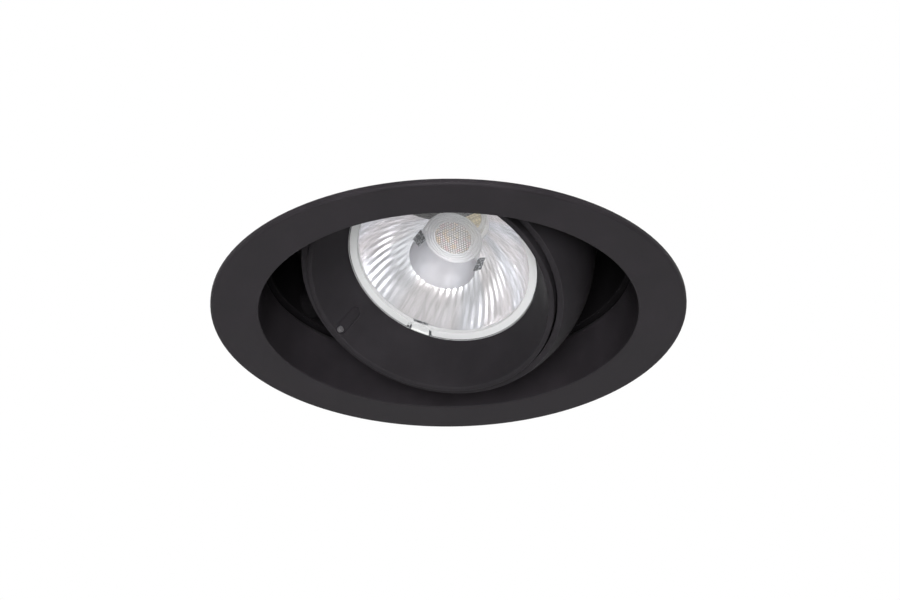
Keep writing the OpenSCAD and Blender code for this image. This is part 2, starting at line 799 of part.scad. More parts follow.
module heat_sink() {
    color(black_paint) in_head() difference() {
        rotate_extrude() polygon([
            [0, ball_back], [sink_r, ball_back], [sink_r, plate_top - plate_chamfer],
            [sink_r - plate_chamfer, plate_top], [core_r, plate_top], [core_r, sink_top - core_chamfer],
            [core_r - core_chamfer, sink_top], [0, sink_top]]);
        translate([0, -gland_offset, ball_back - eps])
            cylinder(r = gland_r + thread_gap, h = sink_plate_t + 2 * eps);
        around(sink_screw_turns, sink_screw_offset) translate([0, 0, ball_back - eps])
            cylinder(r = sink_screw_r + fit_gap, h = sink_plate_t + 2 * eps, $fn = 32);
        around(leg_turns, leg_offset) translate([0, 0, ball_back - eps])
            cylinder(r = baffle_screw_r + fit_gap, h = sink_plate_t + 2 * eps, $fn = 32);
        around([0, 180], led_screw_offset) translate([0, 0, ball_back - eps])
            cylinder(r = led_screw_r + thread_gap, h = led_hole_l, $fn = 32);
    }
}

// Fins bonded on the plate, all but those that the gland needs out of its way
module sink_fins() {
    reach = gland_hex_r + fin_t / 2 + fit_gap;
    turns = [for (i = [0:fin_count - 1]) fin_turn + i * 360 / fin_count];
    color(black_paint) in_head() for (a = turns)
        if (sin(a) > 0 || abs(gland_offset * cos(a)) > reach) rotate([0, 0, a]) fin();
}

// One straight fin along X, with its outer corner cut off
module fin() {
    translate([0, fin_t / 2, 0]) rotate([90, 0, 0]) linear_extrude(fin_t) polygon([
        [core_r + fin_gap, plate_top], [fin_r, plate_top], [fin_r, sink_top - 2 * fin_chamfer],
        [fin_r - fin_chamfer, sink_top], [core_r + fin_gap, sink_top]]);
}

module heat_sink_screws() {
    color(steel) in_head() around(sink_screw_turns, sink_screw_offset) translate([0, 0, plate_top])
        screw(sink_screw_r, sink_screw_l - 0.5, sink_head_r, sink_head_t);
}

// ---- Head that tilts: cable gland ----

// Puts a child on the gland's axis, with z = 0 on the plate's outer face
module at_gland() {
    in_head() translate([0, -gland_offset, plate_top]) children();
}

module gland_body() {
    color(black_plastic) at_gland() difference() {
        union() {
            translate([0, 0, -sink_plate_t - gland_nut_h])
                cylinder(r = gland_r, h = sink_plate_t + gland_nut_h + eps);
            cylinder(r = gland_hex_r, h = gland_hex_h, $fn = 6);
            cylinder(r = gland_stem_r, h = gland_stem_h);
        }
        translate([0, 0, -sink_plate_t - gland_nut_h - eps])
            cylinder(r = gland_bore_r, h = gland_stem_h + sink_plate_t + gland_nut_h + 1);
        translate([0, 0, gland_seat_h]) cylinder(r = gland_seal_r + thread_gap, h = gland_stem_h);
    }
}

module gland_nut() {
    color(black_plastic) at_gland() translate([0, 0, -sink_plate_t - gland_nut_h]) difference() {
        cylinder(r = gland_nut_r, h = gland_nut_h, $fn = 6);
        translate([0, 0, -eps]) cylinder(r = gland_r + thread_gap, h = gland_nut_h + 2 * eps);
    }
}

module gland_seal() {
    color(rubber_black) at_gland()
        ring(cable_bore_r, gland_seal_r, gland_seat_h, gland_seat_h + gland_seal_h);
}

module gland_cap() {
    top = gland_seat_h + gland_seal_h + gland_cap_wall;
    color(black_plastic) at_gland() difference() {
        rotate_extrude() polygon([
            [0, gland_cap_base], [gland_cap_r, gland_cap_base], [gland_cap_r, top - gland_cap_shoulder],
            [gland_cap_r - gland_cap_chamfer, top], [0, top]]);
        translate([0, 0, gland_cap_base - eps])
            cylinder(r = gland_stem_r + thread_gap, h = top - gland_cap_wall - gland_cap_base + eps);
        translate([0, 0, gland_cap_base]) cylinder(r = cable_bore_r + gland_cap_gap, h = top);
        for (a = [0:60:300]) rotate([0, 0, a])
            translate([gland_cap_r - gland_flat_deep, -gland_cap_r, gland_cap_base - eps])
            cube([gland_cap_r, 2 * gland_cap_r, gland_flat_h]);
    }
}

// ---- Spring clips, drawn at turn 0 with X pointing outwards ----

// Puts a child at clip number n
module at_clip(n) {
    rotate([0, 0, clip_turns[n - 1]]) children();
}

// Cylinder along the clip's pin, from -l / 2 to l / 2
module on_pin(r, l) {
    translate([clip_pin_x, l / 2, clip_pin_z]) rotate([90, 0, 0]) cylinder(r = r, h = l, $fn = 48);
}

module clip_bracket(n) {
    ear_y = bracket_w / 2 - bracket_ear_t;
    color(steel) at_clip(n) difference() {
        union() {
            translate([clip_pad_x, -bracket_w / 2, bracket_foot_z])
                cube([bracket_t, bracket_w, clip_pad_top - bracket_foot_z]);
            translate([clip_pad_x, -bracket_lip_w / 2, bracket_lip_z])
                cube([bracket_lip_x - clip_pad_x, bracket_lip_w, bracket_t]);
            for (y = [-bracket_w / 2, ear_y]) {
                translate([clip_pad_x, y, clip_pin_z - bracket_ear_h / 2])
                    cube([clip_pin_x - clip_pad_x, bracket_ear_t, bracket_ear_h]);
                translate([clip_pin_x, y + bracket_ear_t, clip_pin_z]) rotate([90, 0, 0])
                    cylinder(r = bracket_ear_r, h = bracket_ear_t, $fn = 48);
            }
        }
        on_pin(clip_pin_r + slip_gap, bracket_w + 2 * eps);
        translate([clip_pad_x - eps, 0, 0]) rivet_holes(rivet_r + thread_gap, bracket_t + 2 * eps);
    }
}

module bracket_rivets() {
    color(steel) around(clip_turns, clip_pad_x - rivet_l) {
        rivet_holes(rivet_r, rivet_l + bracket_t + eps);
        translate([rivet_l + bracket_t, 0, 0]) rivet_holes(rivet_head_r, rivet_head_t);
    }
}

module clip_pin(n) {
    color(steel) at_clip(n) {
        on_pin(clip_pin_r, bracket_w + 2 * eps);
        for (y = [-bracket_w / 2 - clip_pin_head_t / 2, bracket_w / 2 + clip_pin_head_t / 2])
            translate([0, y, 0]) on_pin(clip_pin_head_r, clip_pin_head_t);
    }
}

module clip_arm(n) {
    neck_x = clip_tip_x - sleeve_l - arm_neck_l;
    bead_x = arm_root_x + arm_root_l;
    edge = [[arm_root_x, arm_ear_out], [arm_root_x + arm_ear_l, arm_ear_out],
        [arm_root_x + arm_ear_l, clip_arm_w / 2], [bead_x, clip_arm_w / 2], [neck_x, arm_tip_w / 2],
        [clip_tip_x - arm_tip_chamfer, arm_tip_w / 2], [clip_tip_x, arm_tip_w / 2 - arm_tip_chamfer]];
    color(steel) at_clip(n) difference() {
        union() {
            translate([0, 0, arm_z]) linear_extrude(clip_arm_t)
                polygon(concat(edge, [for (i = [len(edge) - 1:-1:0]) [edge[i][0], -edge[i][1]]]));
            for (side = [-1, 1]) translate([0, side * (arm_ear_out - arm_ear_t / 2), 0]) arm_ear();
            translate([bead_x, -arm_bead_w / 2, arm_z + clip_arm_t - eps])
                cube([neck_x - bead_x - arm_neck_l, arm_bead_w, arm_bead_h]);
        }
        on_pin(clip_pin_r + slip_gap, bracket_w);
    }
}

// One ear of the arm, centred on y = 0, from the pin's eye down to the blade
module arm_ear() {
    on_pin(arm_eye_r, arm_ear_t);
    foot_x = arm_root_x - clip_pin_x;
    eye_z = clip_pin_z - arm_z;
    translate([clip_pin_x, arm_ear_t / 2, arm_z]) rotate([90, 0, 0]) linear_extrude(arm_ear_t) polygon([
        [-arm_eye_r / 2, eye_z - arm_eye_r], [foot_x, 0], [foot_x + arm_ear_l, 0],
        [foot_x + arm_ear_l, clip_arm_t], [arm_eye_r * 0.8, eye_z + arm_eye_r / 2], [0, eye_z]]);
}

module clip_sleeve(n) {
    inner_w = arm_tip_w + 2 * sleeve_gap;
    outer_w = inner_w + 2 * sleeve_t;
    color(rubber_black) at_clip(n) difference() {
        translate([clip_tip_x - sleeve_l, -outer_w / 2, arm_z - sleeve_t])
            cube([sleeve_l + sleeve_t, outer_w, clip_arm_t + 2 * sleeve_t]);
        translate([clip_tip_x - sleeve_l - eps, -inner_w / 2, arm_z])
            cube([sleeve_l + eps, inner_w, clip_arm_t]);
    }
}

// ---- Torsion spring: one open tube, from the bracket's leg round the coil to the arm's leg ----

coil_start = 180;
coil_sweep = 360 * coil_turns + 90;
coil_l = coil_pitch * coil_sweep / 360;
coil_n = coil_rings * coil_turns + 2;

// Frame on the coil at ring i: [centre, outward direction, along-pin direction]
function coil_frame(i) = let (a = coil_start + coil_sweep * i / coil_n)
    [[coil_r * cos(a), -coil_l / 2 + coil_l * i / coil_n, coil_r * sin(a)], [cos(a), 0, sin(a)], [0, 1, 0]];

function moved(frame, v) = [frame[0] + v, frame[1], frame[2]];
coil_frames = [for (i = [0:coil_n]) coil_frame(i)];
spring_frames = concat([moved(coil_frames[0], [0, 0, bracket_leg_l])], coil_frames,
    [moved(coil_frames[coil_n], [arm_leg_l, 0, 0])]);

// Corners of the wire at each frame, ring after ring
spring_points = [for (f = spring_frames) for (k = [0:wire_sides - 1])
    f[0] + wire_d / 2 * (cos(k * 360 / wire_sides) * f[1] + sin(k * 360 / wire_sides) * f[2])];

// Side faces of a tube as triangles, and its two flat ends
function tube_sides(rings, sides) = [for (i = [0:rings - 2]) for (k = [0:sides - 1]) for (half = [0, 1])
    let (a = i * sides + k, b = i * sides + (k + 1) % sides)
    half == 0 ? [a, b, b + sides] : [a, b + sides, a + sides]];
function tube_ends(rings, sides) = concat(
    [for (k = [1:sides - 2]) [0, k + 1, k]],
    [for (k = [1:sides - 2]) [(rings - 1) * sides, (rings - 1) * sides + k, (rings - 1) * sides + k + 1]]);

// Least distance between rings that lie one turn apart, less the wire
spring_gap = min([for (i = [0:coil_n - coil_rings]) for (k = [-1:1])
    let (j = i + coil_rings + k) if (j <= coil_n) norm(coil_frames[i][0] - coil_frames[j][0]) - wire_d]);
echo(spring_gap = spring_gap);

module clip_spring(n) {
    rings = len(spring_frames);
    color(steel) at_clip(n) translate([clip_pin_x, 0, clip_pin_z])
        polyhedron(spring_points, concat(tube_sides(rings, wire_sides), tube_ends(rings, wire_sides)));
}

trim_ring();
ceiling_gasket();
glide_ring();
keeper_plates();
keeper_screws();
cradle_ring();
pivot_bushes();
pivot_screws();
pivot_inserts();
friction_washers();
ball_shell();
baffle();
baffle_catch();
baffle_screws();
lens();
lens_gasket();
lens_holder();
holder_screws();
led_board();
led_emitter();
thermal_pad();
led_holder();
led_holder_screws();
terminal_block();
terminal_screws();
inner_leads();
rear_seal();
heat_sink();
sink_fins();
heat_sink_screws();
gland_body();
gland_nut();
gland_seal();
gland_cap();
bracket_rivets();
for (n = [1:3]) {
    clip_bracket(n);
    clip_pin(n);
    clip_arm(n);
    clip_sleeve(n);
    clip_spring(n);
}
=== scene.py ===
"""Soffit downlight: finishes, lens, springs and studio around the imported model.

The object hangs in a ceiling at z = 0 and looks down. Its head leans, so the head has a frame of its
own: the pivot is the origin and +Z runs up the head's axis, from the baffle to the heat sink.
Sizes in dataclass fields are in millimetres unless their name says otherwise.
"""

from __future__ import annotations

import json
import logging
import math
from dataclasses import dataclass, field, replace
from enum import Enum
from functools import cached_property
from typing import Callable, Sequence

import bmesh
import bpy
from mathutils import Matrix, Vector

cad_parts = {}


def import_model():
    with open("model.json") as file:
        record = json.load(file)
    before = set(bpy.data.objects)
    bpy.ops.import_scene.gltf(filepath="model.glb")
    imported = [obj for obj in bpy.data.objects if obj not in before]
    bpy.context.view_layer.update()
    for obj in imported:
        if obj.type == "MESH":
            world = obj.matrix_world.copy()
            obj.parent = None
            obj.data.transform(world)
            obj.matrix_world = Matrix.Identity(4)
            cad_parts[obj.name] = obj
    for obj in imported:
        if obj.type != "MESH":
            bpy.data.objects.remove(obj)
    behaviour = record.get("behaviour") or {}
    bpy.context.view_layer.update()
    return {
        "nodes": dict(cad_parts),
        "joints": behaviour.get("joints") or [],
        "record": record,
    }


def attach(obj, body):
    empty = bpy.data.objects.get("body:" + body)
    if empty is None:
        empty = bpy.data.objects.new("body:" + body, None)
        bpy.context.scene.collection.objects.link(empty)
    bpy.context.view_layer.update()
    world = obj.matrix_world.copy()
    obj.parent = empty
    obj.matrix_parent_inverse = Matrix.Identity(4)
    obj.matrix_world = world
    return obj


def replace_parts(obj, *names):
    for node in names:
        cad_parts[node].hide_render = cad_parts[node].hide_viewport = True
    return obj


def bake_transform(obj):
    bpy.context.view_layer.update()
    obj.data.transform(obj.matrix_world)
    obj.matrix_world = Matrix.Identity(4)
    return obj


LOG = logging.getLogger("downlight")
MM = 0.001
PLAIN_SMOOTH_DEG = 30.0
ACRYLIC_IOR = 1.49
HEX_ROW = 0.866  # between a honeycomb's rows, as a share of its pitch
HEX_CORNER = 0.577  # from a cell's centre to its corner, as the same share
Colour = tuple[float, float, float]
Point = tuple[float, float, float]
Form = bmesh.types.BMesh
Material = bpy.types.Material
Node = bpy.types.Node
NodeTree = bpy.types.NodeTree
Piece = bpy.types.Object
Socket = bpy.types.NodeSocket
RingPoint = Callable[[float], tuple[float, float]]


# ---- Shader building ----


class NodeSheet:
    """Places and links nodes in one node tree."""

    def __init__(self, tree: NodeTree) -> None:
        """Keep the tree that the nodes go into."""
        self.tree = tree

    def add(self, kind: str, inputs: dict | None = None, **settings: object) -> Node:
        """Add a node.

        Args:
            kind: The node's Blender type name.
            inputs: Values or output sockets for its inputs, by name or number.
            settings: Properties of the node itself.

        Returns:
            The new node.
        """
        node = self.tree.nodes.new(kind)
        for name, value in settings.items():
            setattr(node, name, value)
        for key, value in (inputs or {}).items():
            if isinstance(value, Socket):
                self.tree.links.new(value, node.inputs[key])
            else:
                node.inputs[key].default_value = value
        return node

    def math(self, operation: str, *values: object) -> Socket:
        """Add a Math node, with numbers or sockets as its inputs, and give its output."""
        return self.add("ShaderNodeMath", dict(enumerate(values)), operation=operation).outputs[0]

    def vector(self, operation: str, *values: object, scale: object | None = None) -> Socket:
        """Add a Vector Math node.

        Args:
            operation: The operation's name.
            values: Its vector inputs, as vectors or sockets.
            scale: Its scale, for the operation SCALE.

        Returns:
            Its output socket, which is a number for LENGTH and DOT_PRODUCT.
        """
        inputs = dict(enumerate(values)) | ({} if scale is None else {"Scale": scale})
        node = self.add("ShaderNodeVectorMath", inputs, operation=operation)
        return node.outputs["Value" if operation in ("LENGTH", "DOT_PRODUCT") else "Vector"]

    def noise(
        self, place: Socket, scale: object, detail: float, roughness: float = 0.5
    ) -> Socket:
        """Add a noise texture and give its value."""
        inputs = {"Vector": place, "Scale": scale, "Detail": detail, "Roughness": roughness}
        return self.add("ShaderNodeTexNoise", inputs).outputs["Fac"]

    def object_place(self) -> Socket:
        """Give the place in the object's own frame, which is the row frame."""
        return self.add("ShaderNodeTexCoord").outputs["Object"]

    def ramp(self, value: Socket, low: float, high: float) -> Socket:
        """Map a value from low..high to 0..1 with soft ends."""
        inputs = {"Value": value, "From Min": low, "From Max": high}
        return self.add("ShaderNodeMapRange", inputs, interpolation_type="SMOOTHSTEP").outputs["Result"]

    def between(self, share: Socket, low: float, high: float) -> Socket:
        """Map a share from 0..1 to low..high."""
        inputs = {"Value": share, "To Min": low, "To Max": high}
        return self.add("ShaderNodeMapRange", inputs).outputs["Result"]

    def mix(self, share: object, dark: object, light: object, blend: str = "MIX") -> Socket:
        """Mix two colours by a share from 0 to 1."""
        inputs = {0: share, 6: dark, 7: light}
        return self.add("ShaderNodeMix", inputs, data_type="RGBA", blend_type=blend).outputs[2]

    def link(self, output: Socket, target: Socket) -> None:
        """Link an output to an input."""
        self.tree.links.new(output, target)

    def effect(self, tree: NodeTree, inputs: dict) -> bpy.types.NodeOutputs:
        """Add a shared effect, with values or sockets for its inputs, and give its outputs."""
        return self.add("ShaderNodeGroup", inputs, node_tree=tree).outputs

    def bump(
        self, height: object, distance_mm: float, shader: Node, normal: object | None = None
    ) -> None:
        """Give a shader a relief, where a height of 1 stands for the distance, over a normal or its own."""
        inputs = {"Height": height, "Distance": distance_mm * MM}
        if normal is not None:
            inputs["Normal"] = normal
        self.link(self.add("ShaderNodeBump", inputs).outputs[0], shader.inputs["Normal"])

    def roughen(self, mask: object, low: float, high: float, shader: Node) -> None:
        """Vary a shader's roughness from low to high by a mask."""
        self.link(self.between(mask, low, high), shader.inputs["Roughness"])

    def clear_from_behind(self, shader: object) -> Socket:
        """Make a surface show on its front side only."""
        back = self.add("ShaderNodeNewGeometry").outputs["Backfacing"]
        clear = self.add("ShaderNodeBsdfTransparent").outputs[0]
        return self.add("ShaderNodeMixShader", {0: back, 1: shader, 2: clear}).outputs[0]

    def head_place(self, pivot: Point, lean: float) -> Socket:
        """Give the place in the head's own frame, from its pivot and its lean in radians."""
        moved = self.vector("SUBTRACT", self.object_place(), pivot)
        turned = self.add("ShaderNodeVectorRotate", {"Vector": moved, "Angle": lean}, rotation_type="X_AXIS")
        return turned.outputs[0]


def rgba(colour: Colour, gain: float = 1.0) -> tuple[float, float, float, float]:
    """Give a colour with full cover, made darker or lighter by a gain."""
    return (*(min(1.0, c * gain) for c in colour), 1.0)


def empty_material(name: str) -> tuple[Material, NodeSheet]:
    """Make a material with no nodes, and its sheet."""
    made = bpy.data.materials.new(name)
    made.use_nodes = True
    made.node_tree.nodes.clear()
    return made, NodeSheet(made.node_tree)


class SurfaceEffects:
    """The effects that several finishes share, each one a node group that is built once."""

    BLOTCH_RANGE = (0.35, 0.7)
    EDGE_RANGE = (0.01, 0.18)
    LINE_RANGE = (0.3, 0.7)
    STREAK_RANGE = (0.36, 0.6)
    WALL_RANGE = (0.3, 0.5)
    TINT_PER_CELL = 0.33

    @staticmethod
    def _open(
        name: str, inputs: dict[str, float | None], floats: Sequence[str], vectors: Sequence[str] = ()
    ) -> tuple:
        """Make an empty group.

        Args:
            name: The group's name.
            inputs: Names and default values of its float inputs, with None for a vector input.
            floats: Names of its float outputs.
            vectors: Names of its vector outputs.

        Returns:
            The group's sheet, its input values and its output targets.
        """
        tree = bpy.data.node_groups.new(name, "ShaderNodeTree")

        def socket(label: str, way: str, kind: str) -> bpy.types.NodeTreeInterfaceSocket:
            """Add one socket to the group."""
            return tree.interface.new_socket(label, in_out=way, socket_type=f"NodeSocket{kind}")

        for label, value in inputs.items():
            if value is None:
                socket(label, "INPUT", "Vector")
            else:
                socket(label, "INPUT", "Float").default_value = value
        for kind, labels in (("Float", floats), ("Vector", vectors)):
            for label in labels:
                socket(label, "OUTPUT", kind)
        sheet = NodeSheet(tree)
        return sheet, sheet.add("NodeGroupInput").outputs, sheet.add("NodeGroupOutput").inputs

    @cached_property
    def grain(self) -> NodeTree:
        """Fine skin of a powder coat or a moulding: a mask of soft blotches and a height of grains."""
        scales = {"Grain Scale": 4000.0, "Blotch Scale": 60.0}
        sheet, given, out = self._open("grain", scales, ("Blotch", "Height"))
        place = sheet.object_place()
        wide = sheet.noise(place, given["Blotch Scale"], detail=5.0, roughness=0.55)
        sheet.link(sheet.ramp(wide, *self.BLOTCH_RANGE), out["Blotch"])
        fine = sheet.noise(place, given["Grain Scale"], detail=3.0, roughness=0.6)
        sheet.link(fine, out["Height"])
        return sheet.tree

    @cached_property
    def edge(self) -> NodeTree:
        """Rounded edges: a mask that is 1 on an edge, and the normal of an edge with a small radius."""
        sheet, given, out = self._open("edge", {"Radius": 0.0004}, ("Mask",), ("Normal",))
        soft = sheet.add("ShaderNodeBevel", {"Radius": given["Radius"]}, samples=6)
        flat = sheet.add("ShaderNodeNewGeometry").outputs["Normal"]
        away = sheet.math("SUBTRACT", 1.0, sheet.vector("DOT_PRODUCT", soft.outputs[0], flat))
        sheet.link(sheet.ramp(away, *self.EDGE_RANGE), out["Mask"])
        sheet.link(soft.outputs[0], out["Normal"])
        return sheet.tree

    @cached_property
    def brushed(self) -> NodeTree:
        """Fine rolled lines of sheet metal along one axis, as a mask and a height."""
        inputs = {"Scale": 900.0, "Stretch": 0.04}
        sheet, given, out = self._open("brushed", inputs, ("Lines", "Height"))
        squeeze = sheet.add("ShaderNodeCombineXYZ", {"X": given["Stretch"], "Y": 1.0, "Z": 1.0})
        drawn = sheet.vector("MULTIPLY", sheet.object_place(), squeeze.outputs[0])
        lines = sheet.noise(drawn, given["Scale"], detail=4.0, roughness=0.7)
        sheet.link(sheet.ramp(lines, *self.LINE_RANGE), out["Lines"])
        sheet.link(lines, out["Height"])
        return sheet.tree

    @cached_property
    def streaks(self) -> NodeTree:
        """Rays that run out from an axis, as a mask, a tint that drifts, and a height."""
        inputs = {"Place": None, "Count": 110.0, "Drift": 260.0, "Tint Scale": 0.12}
        sheet, given, out = self._open("streaks", inputs, ("Streak", "Tint", "Height"))
        flat = sheet.vector("MULTIPLY", given["Place"], (1.0, 1.0, 0.0))
        per_turn = sheet.math("DIVIDE", given["Count"], 2 * math.pi)
        wide = sheet.vector("SCALE", sheet.vector("NORMALIZE", flat), scale=per_turn)
        parts = sheet.add("ShaderNodeSeparateXYZ", {0: wide})
        depth = sheet.math("MULTIPLY", sheet.vector("LENGTH", flat), given["Drift"])
        inputs = {"X": parts.outputs[0], "Y": parts.outputs[1], "Z": depth}
        spot = sheet.add("ShaderNodeCombineXYZ", inputs).outputs[0]
        rays = sheet.noise(spot, 1.0, detail=2.0, roughness=0.6)
        sheet.link(sheet.ramp(rays, *self.STREAK_RANGE), out["Streak"])
        sheet.link(sheet.noise(spot, given["Tint Scale"], detail=1.0), out["Tint"])
        sheet.link(rays, out["Height"])
        return sheet.tree

    @cached_property
    def honeycomb(self) -> NodeTree:
        """Six-sided cells across an axis, as a mask of the walls between them and a tint that drifts."""
        inputs = {"Place": None, "Pitch": 0.001}
        sheet, given, out = self._open("honeycomb", inputs, ("Wall", "Tint"))
        half = (0.5, HEX_ROW, 0.5)
        minus_half = tuple(-h for h in half)
        per_cell = sheet.math("DIVIDE", 1.0, given["Pitch"])
        cells = sheet.vector("SCALE", given["Place"], scale=per_cell)
        away = []
        for shift in ((0.0, 0.0, 0.0), (0.5, HEX_ROW, 0.0)):
            folded = sheet.vector("WRAP", sheet.vector("ADD", cells, shift), half, minus_half)
            away.append(sheet.vector("LENGTH", sheet.vector("MULTIPLY", folded, (1.0, 1.0, 0.0))))
        nearest = sheet.math("MINIMUM", *away)
        sheet.link(sheet.ramp(nearest, *self.WALL_RANGE), out["Wall"])
        sheet.link(sheet.noise(cells, self.TINT_PER_CELL, detail=2.0), out["Tint"])
        return sheet.tree


EFFECTS = SurfaceEffects()


@dataclass(frozen=True)
class Finish:
    """One material. Subclasses say how their surface differs from a plain one."""

    name: str
    colour: Colour
    roughness: float = 0.5

    def material(self) -> Material:
        """Build the material once and return it on every later call."""
        label = f"{self.name}_finish"
        found = bpy.data.materials.get(label)
        if found:
            return found
        made, sheet = empty_material(label)
        inputs = {"Base Color": rgba(self.colour), "Roughness": self.roughness}
        shader = sheet.add("ShaderNodeBsdfPrincipled", inputs)
        sheet.add("ShaderNodeOutputMaterial", {"Surface": shader.outputs[0]}, is_active_output=True)
        self.dress(sheet, shader)
        return made

    def dress(self, sheet: NodeSheet, shader: Node) -> None:
        """Add this finish's own nodes to the shader."""

    def shades(
        self, sheet: NodeSheet, mask: Socket, low: float, high: float
    ) -> Socket:
        """Vary the finish's colour by a mask, between two shares of its brightness."""
        return sheet.mix(mask, rgba(self.colour, low), rgba(self.colour, high))


@dataclass(frozen=True)
class CoatFinish(Finish):
    """Powder coat or moulded plastic: a fine grain, soft blotches and a painted highlight that lightens the
    edges.
    """

    grain_scale: float = 4200.0
    grain_depth_mm: float = 0.012
    blotch_scale: float = 55.0
    specular: float = 0.4
    edge_mm: float = 0.25
    # Gain of the painted highlight that lightens the edges.
    edge_highlight_gain: float = 2.2
    spread: float = 0.12
    gloss_gain: float = 0.04
    gloss_loss: float = 0.05

    def dress(self, sheet: NodeSheet, shader: Node) -> None:
        """Add the grain, the blotches and the painted highlight on the edges."""
        scales = {"Grain Scale": self.grain_scale, "Blotch Scale": self.blotch_scale}
        grain = sheet.effect(EFFECTS.grain, scales)
        edge = sheet.effect(EFFECTS.edge, {"Radius": self.edge_mm * MM})
        coat = self.shades(sheet, grain["Blotch"], 1.0 - self.spread, 1.0 + self.spread)
        # Painted highlight: the edges are lightened by this gain to stand for light catching them.
        painted_edge_highlight = rgba(self.colour, self.edge_highlight_gain)
        sheet.link(sheet.mix(edge["Mask"], coat, painted_edge_highlight), shader.inputs["Base Color"])
        smooth, rough = self.roughness - self.gloss_gain, min(1.0, self.roughness + self.gloss_loss)
        sheet.roughen(grain["Blotch"], smooth, rough, shader)
        sheet.bump(grain["Height"], self.grain_depth_mm, shader, edge["Normal"])
        shader.inputs["Specular IOR Level"].default_value = self.specular


@dataclass(frozen=True)
class MetalFinish(Finish):
    """Bare or plated metal with rolled lines and bright edges."""

    line_scale: float = 900.0
    line_depth_mm: float = 0.004
    line_dark: float = 0.86
    line_light: float = 1.06
    gloss_gain: float = 0.06
    gloss_loss: float = 0.08
    edge_mm: float = 0.15

    def dress(self, sheet: NodeSheet, shader: Node) -> None:
        """Add the rolled lines and the edges."""
        lines = sheet.effect(EFFECTS.brushed, {"Scale": self.line_scale})
        edge = sheet.effect(EFFECTS.edge, {"Radius": self.edge_mm * MM})
        tone = self.shades(sheet, lines["Lines"], self.line_dark, self.line_light)
        sheet.link(tone, shader.inputs["Base Color"])
        smooth, rough = self.roughness - self.gloss_gain, self.roughness + self.gloss_loss
        sheet.roughen(lines["Lines"], smooth, rough, shader)
        sheet.bump(lines["Height"], self.line_depth_mm, shader, edge["Normal"])
        shader.inputs["Metallic"].default_value = 1.0


@dataclass(frozen=True)
class AcrylicFinish(Finish):
    """Clear acrylic, polished or frosted.

    Attributes:
        clearness: Share of the light that passes bent through it.
        body: Opacity of the skin, from 0 to 1.
        one_way: Whether it is clear from behind and has its body from the front.
        frost_scale: Grains of the frost to a metre.
        frost_depth_mm: Depth of the frost, with 0 for polished.
        frost_dark: Brightness of the frost's dark places.
    """

    clearness: float = 1.0
    body: float = 1.0
    one_way: bool = False
    frost_scale: float = 9000.0
    frost_depth_mm: float = 0.0
    frost_dark: float = 0.97

    def dress(self, sheet: NodeSheet, shader: Node) -> None:
        """Make the shader clear, with a fine frost where the finish has one."""
        shader.inputs["Transmission Weight"].default_value = self.clearness
        shader.inputs["IOR"].default_value = ACRYLIC_IOR
        shader.inputs["Alpha"].default_value = self.body
        if self.one_way:
            back = sheet.add("ShaderNodeNewGeometry").outputs["Backfacing"]
            sheet.link(sheet.math("SUBTRACT", 1.0, back), shader.inputs["Alpha"])
        if self.frost_depth_mm:
            grain = sheet.effect(EFFECTS.grain, {"Grain Scale": self.frost_scale})
            tone = self.shades(sheet, grain["Blotch"], self.frost_dark, 1.0)
            sheet.link(tone, shader.inputs["Base Color"])
            sheet.bump(grain["Height"], self.frost_depth_mm, shader)


@dataclass(frozen=True)
class OpticFinish(Finish):
    """A surface of the moulded lens whose pattern runs round the head's axis."""

    pivot: Point = (0.0, 0.0, 0.0)
    lean: float = 0.0

    def on(self, head: HeadFrame) -> OpticFinish:
        """Give the same finish, placed round a head's axis."""
        return replace(self, pivot=tuple(head.matrix.translation), lean=head.lean)


@dataclass(frozen=True)
class ReflexFinish(OpticFinish):
    """The back of a clear moulding where light bounces inside it, as bright as a mirror."""

    dark: float = 0.7
    warm: Colour = (1.0, 0.955, 0.94)
    cool: Colour = (0.94, 0.965, 1.0)
    streak_count: float = 130.0
    streak_drift: float = 190.0
    ripple_mm: float = 0.05
    metallic: float = 0.68
    tint_range: tuple[float, float] = (0.4, 0.6)

    def dress(self, sheet: NodeSheet, shader: Node) -> None:
        """Make the surface a mirror, with painted reflection streaks that run out from the well and faint
        painted prism colours of split light.
        """
        place = sheet.head_place(self.pivot, self.lean)
        inputs = {"Place": place, "Count": self.streak_count, "Drift": self.streak_drift}
        rays = sheet.effect(EFFECTS.streaks, inputs)
        # Painted reflection: streaks darken and lighten the mirror's colour to stand for the streaky
        # reflections of the flutes.
        painted_reflection_streaks = self.shades(sheet, rays["Streak"], self.dark, 1.0)
        # Painted light: warm and cool tints stand for the colours that the acrylic splits out of the light.
        share = sheet.ramp(rays["Tint"], *self.tint_range)
        tint = sheet.mix(share, rgba(self.warm), rgba(self.cool))
        sheet.link(sheet.mix(1.0, painted_reflection_streaks, tint, "MULTIPLY"), shader.inputs["Base Color"])
        sheet.bump(rays["Height"], self.ripple_mm, shader)
        shader.inputs["Metallic"].default_value = self.metallic


